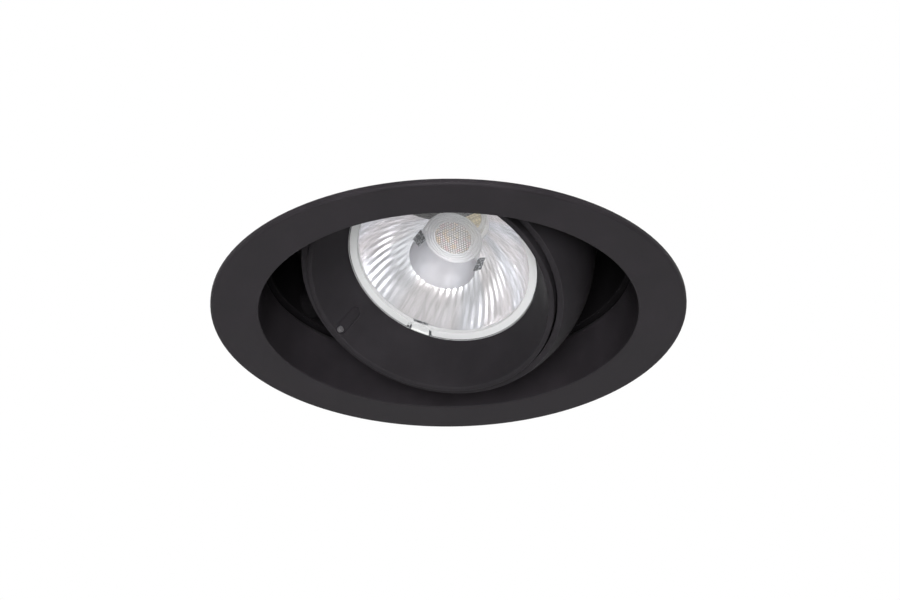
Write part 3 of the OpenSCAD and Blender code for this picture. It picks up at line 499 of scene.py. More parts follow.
@dataclass(frozen=True)
class BeadFinish(OpticFinish):
    """The beaded centre lens, with a painted view of the light source's rows through it and painted shade
    along the edges of its cells.
    """

    pitch_mm: float = 1.05
    cell_edge_shade: Colour = (0.17, 0.14, 0.13)
    warm: Colour = (0.93, 0.80, 0.66)
    rosy: Colour = (0.92, 0.74, 0.74)
    warm_range: tuple[float, float] = (0.5, 0.62)
    rosy_range: tuple[float, float] = (0.47, 0.36)
    clearness: float = 0.2

    def dress(self, sheet: NodeSheet, shader: Node) -> None:
        """Add the cells, the painted shade along their edges and the painted view of the warm rows."""
        place = sheet.head_place(self.pivot, self.lean)
        cells = sheet.effect(EFFECTS.honeycomb, {"Place": place, "Pitch": self.pitch_mm * MM})
        tint = cells["Tint"]
        # Painted light: the warm and rosy rows stand for the phosphor seen through the beads, and the cell
        # edges are darkened as painted shade where the beads bend the light away.
        warm = sheet.mix(sheet.ramp(tint, *self.warm_range), rgba(self.colour), rgba(self.warm))
        rosy = sheet.mix(sheet.ramp(tint, *self.rosy_range), warm, rgba(self.rosy))
        painted_view_through = sheet.mix(cells["Wall"], rosy, rgba(self.cell_edge_shade))
        sheet.link(painted_view_through, shader.inputs["Base Color"])
        shader.inputs["Transmission Weight"].default_value = self.clearness
        shader.inputs["IOR"].default_value = ACRYLIC_IOR


@dataclass(frozen=True)
class SpeckFinish(Finish):
    """Dark marks that are finely speckled with light."""

    speck: Colour = (0.34, 0.35, 0.37)
    speck_scale: float = 1900.0
    speck_range: tuple[float, float] = (0.5, 0.62)

    def dress(self, sheet: NodeSheet, shader: Node) -> None:
        """Add the specks."""
        grain = sheet.effect(EFFECTS.grain, {"Grain Scale": self.speck_scale})
        mask = sheet.ramp(grain["Height"], *self.speck_range)
        tone = sheet.mix(mask, rgba(self.colour), rgba(self.speck))
        sheet.link(tone, shader.inputs["Base Color"])


@dataclass(frozen=True)
class PhosphorFinish(Finish):
    """Yellow phosphor with the faint grid of the chips under it."""

    chip_pitch_mm: float = 1.3
    chip_irregular: float = 0.15
    gap_range: tuple[float, float] = (0.03, 0.16)
    gap_dark: float = 0.55
    chip_light: float = 1.1

    def dress(self, sheet: NodeSheet, shader: Node) -> None:
        """Add the grid of chips."""
        per_metre = 1.0 / (self.chip_pitch_mm * MM)
        inputs = {"Vector": sheet.object_place(), "Scale": per_metre, "Randomness": self.chip_irregular}
        chips = sheet.add("ShaderNodeTexVoronoi", inputs, feature="DISTANCE_TO_EDGE")
        mask = sheet.ramp(chips.outputs["Distance"], *self.gap_range)
        tone = self.shades(sheet, mask, self.gap_dark, self.chip_light)
        sheet.link(tone, shader.inputs["Base Color"])


class Paint:
    """Every finish of the object, by what it is on."""

    BEZEL = CoatFinish("bezel_coat", (0.0215, 0.0190, 0.0218), 0.5, specular=0.06, edge_highlight_gain=1.6)
    # Painted shade: the same black coat made about three times darker, standing for the shade deep inside
    # the collar.
    CRADLE_PAINTED_SHADE = CoatFinish("cradle_coat_painted_shade", (0.0065, 0.0059, 0.0066), 0.7, specular=0.03, edge_highlight_gain=1.0)
    HEAD = CoatFinish("head_coat", (0.0200, 0.0182, 0.0205), 0.6, specular=0.06, edge_highlight_gain=2.7)
    SINK = CoatFinish("sink_coat", (0.0330, 0.0315, 0.0340), 0.6, specular=0.25, edge_highlight_gain=2.2)
    CATCH = CoatFinish("catch_coat", (0.085, 0.082, 0.086), 0.4, specular=0.4)
    BLACKED = MetalFinish("blacked_steel", (0.012, 0.012, 0.0125), 0.5)
    NYLON = CoatFinish("black_nylon", (0.014, 0.014, 0.0145), 0.45, grain_depth_mm=0.006, edge_highlight_gain=1.6)
    WHITE = CoatFinish("white_moulding", (0.78, 0.78, 0.76), 0.42, grain_depth_mm=0.004, edge_highlight_gain=1.1)
    RUBBER = CoatFinish("seal_rubber", (0.018, 0.018, 0.0185), 0.75, specular=0.25, edge_highlight_gain=1.5)
    SPRING = MetalFinish("spring_steel", (0.55, 0.56, 0.58), 0.3)
    PLATED = MetalFinish("plated_steel", (0.6, 0.6, 0.59), 0.24, line_scale=500.0)
    BRASS = MetalFinish("turned_brass", (0.72, 0.55, 0.27), 0.25)
    CLEAR = AcrylicFinish("clear_acrylic", (1.0, 1.0, 1.0), 0.02, clearness=0.0, body=0.17)
    REFLEX = ReflexFinish("acrylic_reflex", (0.88, 0.88, 0.90), 0.17)
    BEADS = BeadFinish("beaded_acrylic", (0.90, 0.90, 0.90), 0.3)
    FROST = AcrylicFinish("frosted_acrylic", (0.74, 0.745, 0.75), 0.5, clearness=0.25, frost_depth_mm=0.02)
    FLOOR = AcrylicFinish("ringed_acrylic", (0.84, 0.84, 0.85), 0.22, clearness=0.35)
    WELL = AcrylicFinish(
        "well_acrylic", (0.52, 0.52, 0.55), 0.65, clearness=0.15, one_way=True, frost_depth_mm=0.02
    )
    # Dark speckled finish of the lens marks, also used as painted shade in the rim's groove and the key's
    # slots.
    SPECK_AND_SHADE = SpeckFinish("dark_speckle_and_shade", (0.035, 0.037, 0.04), 0.5)
    PHOSPHOR = PhosphorFinish("phosphor", (0.93, 0.76, 0.42), 0.35)
    BOARD = CoatFinish("board_mask", (0.86, 0.86, 0.84), 0.3, grain_depth_mm=0.002, edge_highlight_gain=1.0)
    PAD = CoatFinish("thermal_pad", (0.42, 0.47, 0.52), 0.8, edge_highlight_gain=1.1)
    LEAD = CoatFinish("lead_sheath", (0.5, 0.03, 0.025), 0.4, edge_highlight_gain=1.2)


CAD_FINISHES: dict[Finish, tuple[str, ...]] = {
    Paint.BEZEL: ("trim_ring",),
    Paint.CRADLE_PAINTED_SHADE: ("cradle_ring",),
    Paint.BLACKED: ("pivot_screws", "friction_washers"),
    Paint.HEAD: ("ball_shell", "baffle"),
    Paint.CATCH: ("baffle_catch",),
    Paint.SINK: ("heat_sink", "sink_fins"),
    Paint.NYLON: ("glide_ring", "gland_body", "gland_nut", "gland_cap", "pivot_bushes"),
    Paint.WHITE: ("lens_holder", "led_holder", "terminal_block"),
    Paint.RUBBER: ("ceiling_gasket", "lens_gasket", "rear_seal", "gland_seal", "clip_sleeve"),
    Paint.SPRING: ("keeper_plates", "clip_bracket", "clip_arm", "clip_spring"),
    Paint.PLATED: (
        "keeper_screws",
        "baffle_screws",
        "holder_screws",
        "led_holder_screws",
        "heat_sink_screws",
        "bracket_rivets",
        "clip_pin",
    ),
    Paint.BRASS: ("pivot_inserts", "terminal_screws"),
    Paint.CLEAR: ("lens",),
    Paint.PHOSPHOR: ("led_emitter",),
    Paint.BOARD: ("led_board",),
    Paint.PAD: ("thermal_pad",),
    Paint.LEAD: ("inner_leads",),
}


def dress_frame(nodes: dict[str, Piece]) -> None:
    """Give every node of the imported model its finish."""
    by_stem = {stem: finish for finish, stems in CAD_FINISHES.items() for stem in stems}
    for name, node in nodes.items():
        finish = by_stem.get(name) or by_stem[name.rstrip("0123456789").rstrip("_")]
        node.data.materials.clear()
        node.data.materials.append(finish.material())
    LOG.info("dressed %d nodes", len(nodes))


# ---- Shapes ----


@dataclass
class HeadFrame:
    """Where the head is: its pivot and the way that its axis leans."""

    matrix: Matrix
    lean: float

    @classmethod
    def from_record(cls, record: dict) -> HeadFrame:
        """Read the pivot from the tilt joint and the axis from the cable entry."""
        pivot = next(j for j in record["behaviour"]["joints"] if j["name"] == "tilt")["pos_m"]
        axis = next(m for m in record["mounts"] if m["name"] == "cable_entry")["axis"]
        lean = math.atan2(axis[1], axis[2])
        matrix = Matrix.Translation(Vector(pivot)) @ Matrix.Rotation(-lean, 4, "X")
        return cls(matrix, lean)

    def extent(self, node: Piece) -> tuple[float, float, float]:
        """Give a node's lowest and highest point along the head's axis and its largest radius, in metres."""
        inverse = self.matrix.inverted()
        points = [inverse @ v.co for v in node.data.vertices]
        heights = [p.z for p in points]
        return min(heights), max(heights), max(math.hypot(p.x, p.y) for p in points)


def add_object(name: str, data: bpy.types.ID) -> Piece:
    """Put a mesh, camera or lamp in the scene."""
    made = bpy.data.objects.new(name, data)
    bpy.context.scene.collection.objects.link(made)
    return made


def look_along(way: Vector) -> Matrix:
    """Turn a camera or a lamp to a direction."""
    return way.to_track_quat("-Z", "Y").to_matrix().to_4x4()


def finish_mesh(
    name: str, form: Form, matrix: Matrix, smooth_deg: float | None, *finishes: Finish
) -> Piece:
    """Turn a mesh in the making into an object in the row frame.

    Args:
        name: The piece's name.
        form: The mesh, which is used up.
        matrix: From the mesh's own frame to the row frame.
        smooth_deg: Faces that meet at less than this angle are shaded as one, or None for flat facets.
        finishes: What goes into its material slots.

    Returns:
        The object.
    """
    bmesh.ops.recalc_face_normals(form, faces=form.faces)
    mesh = bpy.data.meshes.new(name)
    form.transform(matrix)
    form.to_mesh(mesh)
    form.free()
    piece = add_object(name, mesh)
    if smooth_deg is not None:
        mesh.shade_smooth()
        mesh.set_sharp_from_angle(angle=math.radians(smooth_deg))
    for finish in finishes:
        mesh.materials.append(finish.material())
    return piece


def tube(form: Form, rows: Sequence[Sequence[bmesh.types.BMVert]]) -> None:
    """Join rows of corners into a tube with closed ends."""
    sides = len(rows[0])
    for first, second in zip(rows, rows[1:]):
        for k in range(sides):
            n = (k + 1) % sides
            form.faces.new((first[k], first[n], second[n], second[k]))
    form.faces.new(rows[0][::-1])
    form.faces.new(rows[-1])


def plain(radius: float, height: float) -> RingPoint:
    """Give a round and level ring, by its radius and height in millimetres."""
    return lambda angle: (radius * MM, height * MM)


def revolve(
    rings: Sequence[RingPoint], segments: int, closed: bool, finishes: Sequence[int] | None = None
) -> Form:
    """Turn rings about Z into a skin.

    Args:
        rings: For each ring, a function from the angle in radians to (radius, height) in metres. A first
            or last ring of no radius becomes a single point.
        segments: Points on each ring.
        closed: Whether the last ring joins the first.
        finishes: The material slot of each band between two rings, or None for slot 0 all over.

    Returns:
        The mesh.
    """
    form = bmesh.new()
    rows = []
    for ring in rings:
        if ring(0.0)[0] == 0.0:
            rows.append([form.verts.new((0.0, 0.0, ring(0.0)[1]))])
            continue
        row = []
        for k in range(segments):
            angle = 2 * math.pi * k / segments
            radius, height = ring(angle)
            row.append(form.verts.new((radius * math.cos(angle), radius * math.sin(angle), height)))
        rows.append(row)
    pairs = list(zip(rows, rows[1:])) + ([(rows[-1], rows[0])] if closed else [])
    for band, (first, second) in enumerate(pairs):
        for k in range(segments):
            n = (k + 1) % segments
            if len(first) == 1:
                face = form.faces.new((first[0], second[n], second[k]))
            elif len(second) == 1:
                face = form.faces.new((first[k], first[n], second[0]))
            else:
                face = form.faces.new((first[k], first[n], second[n], second[k]))
            if finishes:
                face.material_index = finishes[band]
    return form


def sweep(path: Sequence[Vector], radius: float, sides: int) -> Form:
    """Run a round section along the points of a centre line, into a closed tube."""
    form = bmesh.new()
    last = len(path) - 1
    tangents = [(path[min(i + 1, last)] - path[max(i - 1, 0)]).normalized() for i in range(last + 1)]
    side = tangents[0].orthogonal().normalized()
    rows = []
    for point, tangent in zip(path, tangents):
        side = (side - side.dot(tangent) * tangent).normalized()
        up = tangent.cross(side)
        rows.append(
            [
                form.verts.new(point + radius * (math.cos(a) * side + math.sin(a) * up))
                for a in (2 * math.pi * k / sides for k in range(sides))
            ]
        )
    tube(form, rows)
    return form


# ---- Optic ----


@dataclass
class Optic:
    """The moulded lens: a fluted reflector body with an open well, a beaded centre and a frosted rim."""

    head: HeadFrame
    face_z: float
    back_z: float
    outer_r: float
    rim_t: float = 2.5
    frost_w: float = 4.0
    rim_shoulder: float = 1.9
    well_r: float = 13.0
    floor_r: float = 11.4
    well_depth: float = 15.6
    centre_r: float = 7.2
    centre_rise: float = 0.8
    foot_r: float = 10.8
    cavity_r: float = 9.0
    cavity_top_r: float = 8.2
    centre_t: float = 5.2
    cavity_dome: float = 1.0
    cavity_dome_share: float = 0.6
    bulge: tuple[float, float] = (31.0, 12.0)
    flutes: int = 72
    flute_deep: float = 0.28
    flute_fade: float = 6.0
    bands: int = 11
    bead_pitch: float = Paint.BEADS.pitch_mm
    bead_deep: float = 0.09
    floor_ring_pitch: float = 1.05
    floor_ring_deep: float = 0.16
    centre_rings: int = 44
    floor_rings: int = 24
    well_round: float = 0.15
    ledge: float = 0.4
    ledge_in: float = 0.3
    smooth_deg: float = 8.0
    segments: int = 432
    rim_segments: int = 720
    rim_gap: float = 0.03
    rim_bevel: float = 0.02
    rim_flat_w: float = 0.5
    rim_soft: float = 0.25
    rim_soft_share: float = 0.3
    rim_key_in: float = 0.1
    rim_shoulder_gap: float = 0.2
    rim_groove: tuple[float, float, float] = (36.45, 36.75, 0.7)
    key_deg: tuple[float, float] = (131.5, 145.5)
    key_deep: float = 0.3
    key_slot_deg: float = 0.6
    key_slot_deep: float = 0.9
    mark_t: float = 0.3
    mark_proud: float = 0.02
    marks: tuple[tuple[tuple[float, float], ...], ...] = (
        ((0.1, -15.4), (-0.8, -10.7), (-5.0, -8.9), (-5.2, -12.8)),
        ((13.5, 4.4), (16.6, 5.1), (12.0, 9.1), (8.6, 8.7)),
        ((-21.6, 22.6), (-25.8, 18.5), (-26.4, 19.1), (-22.3, 23.2)),
        # The last two marks sit in the key's two slots and are painted shadow there.
        ((-28.2, 20.0), (-30.2, 21.2), (-29.6, 22.0), (-28.4, 21.0)),
        ((-23.0, 25.4), (-24.6, 27.4), (-23.6, 28.2), (-22.8, 26.4)),
    )

    @classmethod
    def from_frame(cls, head: HeadFrame, node: Piece) -> Optic:
        """Take the lens's place and diameter from its solid."""
        low, high, radius = head.extent(node)
        return cls(head, low / MM, high / MM, radius / MM)

    @property
    def floor_z(self) -> float:
        """Height of the well's floor."""
        return self.face_z + self.well_depth

    def _bead(self, radius: float, angle: float) -> float:
        """Height of the honeycomb of beads on the centre lens at a point."""
        x, y = radius * math.cos(angle), radius * math.sin(angle)
        row = round(y / (self.bead_pitch * HEX_ROW))
        best = math.inf
        for r in (row - 1, row, row + 1):
            shift = 0.5 * (r % 2)
            column = round(x / self.bead_pitch - shift)
            centre = ((column + shift) * self.bead_pitch, r * self.bead_pitch * HEX_ROW)
            best = min(best, math.hypot(x - centre[0], y - centre[1]))
        return self.bead_deep * (1 - (best / (self.bead_pitch * HEX_CORNER)) ** 2)

    def _centre_ring(self, radius: float) -> RingPoint:
        """One ring of the beaded centre lens."""
        base = self.floor_z - self.centre_rise * (1 - (radius / self.centre_r) ** 2)

        return lambda angle: (radius * MM, (base - self._bead(radius, angle)) * MM)

    def _floor_ring(self, radius: float) -> RingPoint:
        """One ring of the well's floor, with its fine concentric rings."""
        turn = 2 * math.pi * (radius - self.centre_r) / self.floor_ring_pitch
        return plain(radius, self.floor_z - self.floor_ring_deep * (0.5 - 0.5 * math.cos(turn)))

    def _flute_ring(self, share: float) -> RingPoint:
        """One ring of the fluted reflector, at a share of the way from rim to foot."""
        top = (self.outer_r - self.rim_shoulder, self.face_z + self.rim_t)
        foot = (self.foot_r, self.back_z)
        a, b, c = (1 - share) ** 2, 2 * share * (1 - share), share**2
        radius = a * top[0] + b * self.bulge[0] + c * foot[0]
        height = a * top[1] + b * self.bulge[1] + c * foot[1]
        fade = min(1.0, self.flute_fade * share, self.flute_fade * (1 - share))
        deep = self.flute_deep * fade * radius / top[0]

        def at(angle: float) -> tuple[float, float]:
            """Radius and height at an angle."""
            wave = abs((self.flutes * angle / (2 * math.pi)) % 1.0 - 0.5) * 2
            return (radius - deep * wave) * MM, height * MM

        return at

    def body(self) -> Piece:
        """Build the clear part of the lens, which stands for the solid."""
        inner_rim = self.outer_r - self.frost_w
        centre_rings, floor_rings = self.centre_rings, self.floor_rings
        clear, beads, floor, well, reflex = range(5)
        ledge_z = self.face_z + self.rim_t - self.ledge
        cavity_z, share = self.floor_z + self.centre_t, self.cavity_dome_share
        rings = [plain(0.0, self.floor_z - self.centre_rise - self.bead_deep)]
        rings += [self._centre_ring(self.centre_r * (i + 1) / centre_rings) for i in range(centre_rings)]
        rings += [
            self._floor_ring(self.centre_r + (self.floor_r - self.centre_r) * (i + 1) / floor_rings)
            for i in range(floor_rings)
        ]
        finishes = [beads] * centre_rings + [floor] * floor_rings
        rings += [
            plain(self.floor_r + self.well_round / 3, self.floor_z),
            plain(self.well_r - self.well_round / 3, self.face_z + self.well_round),
            plain(self.well_r + self.well_round * 2 / 3, self.face_z),
            plain(inner_rim, self.face_z),
            plain(inner_rim, ledge_z),
            plain(self.outer_r - self.rim_shoulder - self.ledge_in, ledge_z),
        ]
        finishes += [floor, well, clear, clear, clear, reflex]
        rings += [self._flute_ring(i / self.bands) for i in range(self.bands + 1)]
        finishes += [reflex] * (self.bands + 1)
        rings += [
            plain(self.cavity_r, self.back_z),
            plain(self.cavity_top_r, cavity_z),
            plain(self.cavity_top_r * share, cavity_z - self.cavity_dome * (1 - share**2)),
            plain(0.0, cavity_z - self.cavity_dome),
        ]
        finishes += [clear] * 4
        form = revolve(rings, self.segments, closed=False, finishes=finishes)
        beaded, mirrored = Paint.BEADS.on(self.head), Paint.REFLEX.on(self.head)
        skins = (Paint.CLEAR, beaded, Paint.FLOOR, Paint.WELL, mirrored)
        piece = finish_mesh("lens_body", form, self.head.matrix, self.smooth_deg, *skins)
        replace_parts(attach(piece, "head"), "lens")
        return piece

    def _rim_ring(self, radius: float, height: float) -> RingPoint:
        """One ring on the rim's face, which steps back at the key and at the slot on each side of it."""
        start, stop = self.key_deg

        def at(angle: float) -> tuple[float, float]:
            """Radius and height at an angle."""
            degrees = math.degrees(angle)
            step = self.key_deep if start < degrees < stop else 0.0
            if min(abs(degrees - start), abs(degrees - stop)) < self.key_slot_deg:
                step = self.key_slot_deep
            return radius * MM, (height + step) * MM

        return at

    def rim(self) -> Piece:
        """Build the frosted rim round the body, with its groove and its key; the groove's walls and floor
        take the dark speckled finish as painted shade.
        """
        gap, flat_w, soft = self.rim_gap, self.rim_flat_w, self.rim_soft
        soft_mid = soft * self.rim_soft_share
        inner = self.outer_r - self.frost_w + gap
        back = self.face_z + self.rim_t
        recess = back - self.ledge - gap
        shoulder = self.outer_r - self.rim_shoulder + self.rim_shoulder_gap
        groove_in, groove_out, groove_deep = self.rim_groove
        groove_z = self.face_z + self.key_slot_deep + groove_deep
        rings = [
            plain(inner, self.face_z + self.rim_bevel),
            plain(inner + flat_w, self.face_z),
            self._rim_ring(inner + flat_w + self.rim_key_in, self.face_z),
            self._rim_ring(groove_in, self.face_z),
            plain(groove_in + gap, groove_z),
            plain(groove_out - gap, groove_z),
            plain(groove_out, self.face_z),
            plain(self.outer_r - soft, self.face_z),
            plain(self.outer_r - soft_mid, self.face_z + soft_mid),
            plain(self.outer_r, self.face_z + soft),
            plain(self.outer_r, back),
            plain(shoulder, back),
            plain(shoulder, recess),
            plain(inner, recess),
        ]
        # Bands 3 to 5, the groove's walls and floor, get the dark speckled finish as painted shade.
        finishes = [0, 0, 0, 1, 1, 1] + [0] * 8
        form = revolve(rings, self.rim_segments, closed=True, finishes=finishes)
        skins = (Paint.FROST, Paint.SPECK_AND_SHADE)
        piece = finish_mesh("lens_rim", form, self.head.matrix, PLAIN_SMOOTH_DEG, *skins)
        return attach(piece, "head")

    def mark(self, number: int, corners: Sequence[tuple[float, float]]) -> Piece:
        """Build one dark speckled mark in the lens's face, from its corners across the head's axis; in the
        key's slots such a mark is painted shadow.
        """
        form = bmesh.new()
        heights = (self.face_z - self.mark_proud, self.face_z + self.mark_t)
        tube(form, [[form.verts.new((x * MM, y * MM, z * MM)) for x, y in corners] for z in heights])
        piece = finish_mesh(f"lens_dark_mark_{number}", form, self.head.matrix, None, Paint.SPECK_AND_SHADE)
        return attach(piece, "head")

    def build(self) -> None:
        """Build the whole lens, with the dark marks that are seen in its face, two of them painted shadow in
        the key's slots.
        """
        body, rim = self.body(), self.rim()
        for number, corners in enumerate(self.marks, 1):
            self.mark(number, corners)
        for piece in (body, rim):
            report(piece)


# ---- Baffle notch ----


@dataclass
class NotchFloor:
    """The shallow floor of the finger notch in the baffle's mouth."""

    head: HeadFrame
    front_z: float
    turn_deg: float = 176.0
    mouth_r: float = 45.1
    throat_r: float = 36.8
    baffle_h: float = 18.1
    half_w: float = 2.6
    length: float = 12.8
    deep: float = 0.95
    thick: float = 0.35
    set_back: float = 0.15
    rows: int = 12

    def _row(self, z: float) -> list[Point]:
        """Four corners of the floor's section at a height."""
        taper = (self.mouth_r - self.throat_r) / self.baffle_h
        radius = self.mouth_r - taper * (z - self.front_z) + self.deep
        turn = math.radians(self.turn_deg)
        corners = []
        for out, side in ((0, -1), (0, 1), (self.thick, 1), (self.thick, -1)):
            x, y = radius + out, side * self.half_w
            corners.append(
                (
                    (x * math.cos(turn) - y * math.sin(turn)) * MM,
                    (x * math.sin(turn) + y * math.cos(turn)) * MM,
                    z * MM,
                )
            )
        return corners

    def build(self) -> Piece:
        """Build the floor."""
        form = bmesh.new()
        start = self.front_z + self.set_back
        rows = [
            [form.verts.new(corner) for corner in self._row(start + self.length * i / self.rows)]
            for i in range(self.rows + 1)
        ]
        tube(form, rows)
        piece = finish_mesh("notch_floor", form, self.head.matrix, PLAIN_SMOOTH_DEG, Paint.HEAD)
        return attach(piece, "head")


# ---- Spring clips ----


@dataclass
class TorsionSpring:
    """The wound spring of one clip: a leg on the bracket, the turns round the pin and a leg on the arm."""

    number: int
    pin: Vector
    pin_way: Vector
    out_way: Vector
    wire_d: float = 0.9
    coil_r: float = 2.45
    pitch: float = 1.45
    turns: float = 6.25
    start_deg: float = 180.0
    bracket_leg: float = 3.4
    arm_leg: float = 9.0
    bracket_leg_rings: int = 6
    arm_leg_rings: int = 10
    rings_per_turn: int = 28
    sides: int = 12
    smooth_deg: float = 50.0

    @classmethod
    def from_joint(cls, number: int, joint: dict) -> TorsionSpring:
        """Take the pin's place from the clip's joint in the record."""
        pin = Vector(joint["pos_m"])
        out = Vector((pin.x, pin.y, 0.0)).normalized()
        return cls(number, pin, Vector((-out.y, out.x, 0.0)), out)

    def _path(self) -> list[Vector]:
        """Points of the wire's centre line, in the row frame."""
        length = self.pitch * self.turns
        count = int(self.rings_per_turn * self.turns)
        up = Vector((0.0, 0.0, 1.0))

        def coil(i: int) -> Vector:
            """Point number i of the turns."""
            angle = math.radians(self.start_deg + 360 * self.turns * i / count)
            across = self.coil_r * math.cos(angle) * self.out_way + self.coil_r * math.sin(angle) * up
            return self.pin + MM * (across + (length * (i / count - 0.5)) * self.pin_way)

        points = [coil(i) for i in range(count + 1)]
        bracket_step = up * self.bracket_leg * MM / self.bracket_leg_rings
        arm_step = self.out_way * self.arm_leg * MM / self.arm_leg_rings
        first = [points[0] + bracket_step * k for k in range(self.bracket_leg_rings, 0, -1)]
        last = [points[-1] + arm_step * k for k in range(1, self.arm_leg_rings + 1)]
        return first + points + last

    def build(self) -> Piece:
        """Build the wire from the bracket to the arm, in place of the clip's spring solid."""
        name = f"spring_wire_{self.number}"
        wire = sweep(self._path(), self.wire_d / 2 * MM, self.sides)
        piece = finish_mesh(name, wire, Matrix.Identity(4), self.smooth_deg, Paint.SPRING)
        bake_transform(piece)
        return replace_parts(piece, f"clip_spring_{self.number}")


# ---- Studio ----


@dataclass
class PhotoCamera:
    """The photograph's camera: it looks up at the bezel's centre from below."""

    azimuth_deg: float = 36.2
    elevation_deg: float = -30.7
    distance_m: float = 0.792
    focal_px: float = 2133.0
    roll_deg: float = -0.27
    centre_px: tuple[float, float] = (448.5, 311.25)
    image_px: tuple[int, int] = (900, 600)
    sensor_mm: float = 36.0
    nearest_m: float = 0.01
    farthest_m: float = 20.0

    def build(self) -> Piece:
        """Place the camera and make it the scene's own."""
        a, e = math.radians(self.azimuth_deg), math.radians(self.elevation_deg)
        back = Vector((math.sin(a) * math.cos(e), -math.cos(a) * math.cos(e), math.sin(e)))
        data = bpy.data.cameras.new("photo_camera")
        width, height = self.image_px
        data.sensor_width = self.sensor_mm
        data.lens = self.focal_px / width * self.sensor_mm
        data.shift_x = (width / 2 - self.centre_px[0]) / width
        data.shift_y = (self.centre_px[1] - height / 2) / width
        data.clip_start = self.nearest_m
        data.clip_end = self.farthest_m
        camera = add_object("photo_camera", data)
        roll = Matrix.Rotation(math.radians(self.roll_deg), 4, "Z")
        camera.matrix_world = Matrix.Translation(back * self.distance_m) @ look_along(-back) @ roll
        bpy.context.scene.camera = camera
        return camera


@dataclass
class Softbox:
    """One soft lamp that faces a point."""

    name: str
    place_m: Point
    size_m: tuple[float, float]
    watts: float
    target_m: Point = (0.0, 0.0, 0.0)

    def build(self) -> None:
        """Place the lamp."""
        data = bpy.data.lights.new(self.name, "AREA")
        data.shape = "RECTANGLE"
        data.size, data.size_y = self.size_m
        data.energy = self.watts
        place = Vector(self.place_m)
        aim = look_along(Vector(self.target_m) - place)
        add_object(self.name, data).matrix_world = Matrix.Translation(place) @ aim


class Side(Enum):
    """Which sides of a stage surface can be seen."""

    BOTH = "both"
    BELOW = "below"


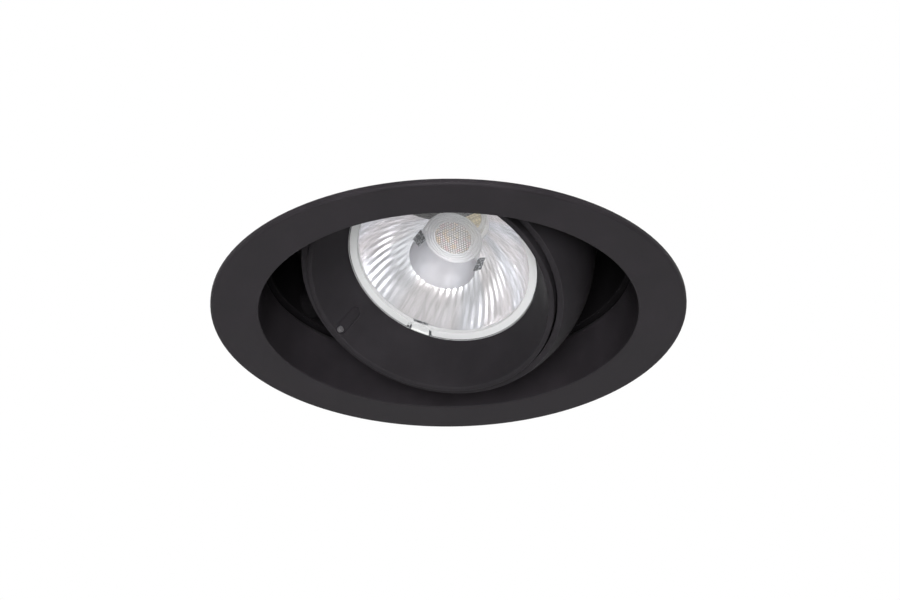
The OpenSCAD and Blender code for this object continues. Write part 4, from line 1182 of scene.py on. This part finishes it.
@dataclass
class Studio:
    """White ceiling and floor, the dark void above the ceiling, world and lamps."""

    ceiling_r: float = 2500.0
    ceiling_hole_r: float = 84.2
    ceiling_z: float = 0.05
    void_r: float = 67.3
    void_z: float = 47.0
    ceiling_sides: int = 128
    void_sides: int = 96
    floor_half: float = 4000.0
    floor_z: float = -1500.0
    pale: Colour = (0.86, 0.86, 0.86)
    void_dark: Colour = (0.01, 0.01, 0.01)
    floor_white: float = 0.94
    world_strength: float = 0.1
    softboxes: list[Softbox] = field(
        default_factory=lambda: [
            Softbox("key_softbox", (0.72, -1.1, -0.62), (0.5, 0.5), 29.0),
            Softbox("lip_softbox", (-0.5, -0.25, -1.1), (0.35, 0.35), 2.0),
            Softbox("top_softbox", (0.6, -0.8, 1.2), (0.9, 0.9), 18.0),
        ]
    )

    def _surface(self, name: str, side: Side) -> Material:
        """Make a white that is plain white to the camera and to gloss, and takes shadows otherwise."""
        made, sheet = empty_material(name)
        matt = sheet.add("ShaderNodeBsdfDiffuse", {"Color": rgba(self.pale)}).outputs[0]
        white = sheet.add("ShaderNodeEmission", {"Strength": 1.0}).outputs[0]
        path = sheet.add("ShaderNodeLightPath")
        seen = sheet.math("MAXIMUM", path.outputs["Is Glossy Ray"], path.outputs["Is Transmission Ray"])
        share = 1.0 if side is Side.BELOW else self.floor_white
        shown = sheet.math("MULTIPLY", path.outputs["Is Camera Ray"], share)
        seen = sheet.math("MAXIMUM", seen, shown)
        shader = sheet.add("ShaderNodeMixShader", {0: seen, 1: matt, 2: white}).outputs[0]
        if side is Side.BELOW:
            shader = sheet.clear_from_behind(shader)
        sheet.add("ShaderNodeOutputMaterial", {"Surface": shader})
        return made

    @staticmethod
    def _disc(name: str, inner: float, outer: float, height: float, segments: int) -> Piece:
        """Build a flat disc that faces down, with a hole where its inner radius isn't 0."""
        form = revolve([plain(inner, 0.0), plain(outer, 0.0)], segments, closed=False)
        piece = finish_mesh(name, form, Matrix.Translation((0, 0, height * MM)), None)
        if piece.data.polygons[0].normal.z > 0:
            piece.data.flip_normals()
        return piece

    def _ceiling(self) -> Piece:
        """The ceiling that hides what is above it, with the cut-out in it. It is clear from above."""
        hole_r, edge_r = self.ceiling_hole_r, self.ceiling_r
        piece = self._disc("ceiling_panel", hole_r, edge_r, self.ceiling_z, self.ceiling_sides)
        piece.data.materials.append(self._surface("ceiling_white", Side.BELOW))
        return piece

    def _void(self) -> Piece:
        """The darkness above the ceiling, as it is seen past the head. It is clear from above."""
        piece = self._disc("ceiling_void", 0.0, self.void_r, self.void_z, self.void_sides)
        made, sheet = empty_material("void_dark")
        dark = sheet.add("ShaderNodeBsdfDiffuse", {"Color": rgba(self.void_dark)}).outputs[0]
        sheet.add("ShaderNodeOutputMaterial", {"Surface": sheet.clear_from_behind(dark)})
        piece.data.materials.append(made)
        return piece

    def _floor(self) -> Piece:
        """The floor far below the ceiling."""
        form = bmesh.new()
        half = self.floor_half * MM
        corners = [(-half, -half), (half, -half), (half, half), (-half, half)]
        form.faces.new([form.verts.new((x, y, self.floor_z * MM)) for x, y in corners])
        piece = finish_mesh("studio_floor", form, Matrix.Identity(4), None)
        piece.data.materials.append(self._surface("floor_pale", Side.BOTH))
        return piece

    def _world(self) -> None:
        """White all round, and dimmer as a light than as a background."""
        world = bpy.data.worlds.new("studio_world")
        bpy.context.scene.world = world
        world.use_nodes = True
        world.node_tree.nodes.clear()
        sheet = NodeSheet(world.node_tree)
        path = sheet.add("ShaderNodeLightPath")
        seen = sheet.math("MAXIMUM", path.outputs["Is Camera Ray"], path.outputs["Is Glossy Ray"])
        seen = sheet.math("MAXIMUM", seen, path.outputs["Is Transmission Ray"])
        strength = sheet.between(seen, self.world_strength, 1.0)
        light = sheet.add("ShaderNodeBackground", {"Color": (1.0, 1.0, 1.0, 1.0), "Strength": strength})
        sheet.add("ShaderNodeOutputWorld", {"Surface": light.outputs[0]})

    def build(self) -> None:
        """Build the studio."""
        self._ceiling()
        self._void()
        self._floor()
        self._world()
        for softbox in self.softboxes:
            softbox.build()
        bpy.context.scene.view_settings.view_transform = "Standard"


def report(piece: Piece) -> None:
    """Say how large a finished piece is."""
    LOG.info("%s: %d faces", piece.name, len(piece.data.polygons))


def main() -> None:
    """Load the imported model, dress it and set up the studio."""
    logging.basicConfig(level=logging.INFO, format="%(name)s: %(message)s")
    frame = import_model()
    PhotoCamera().build()
    Studio().build()
    dress_frame(frame["nodes"])
    head = HeadFrame.from_record(frame["record"])
    Optic.from_frame(head, frame["nodes"]["lens"]).build()
    baffle_front_z = head.extent(frame["nodes"]["baffle"])[0] / MM
    report(NotchFloor(head, baffle_front_z).build())
    joints = {j["name"]: j for j in frame["joints"]}
    for number in (1, 2, 3):
        report(TorsionSpring.from_joint(number, joints[f"clip_{number}_fold"]).build())


if __name__ == "__main__":
    main()
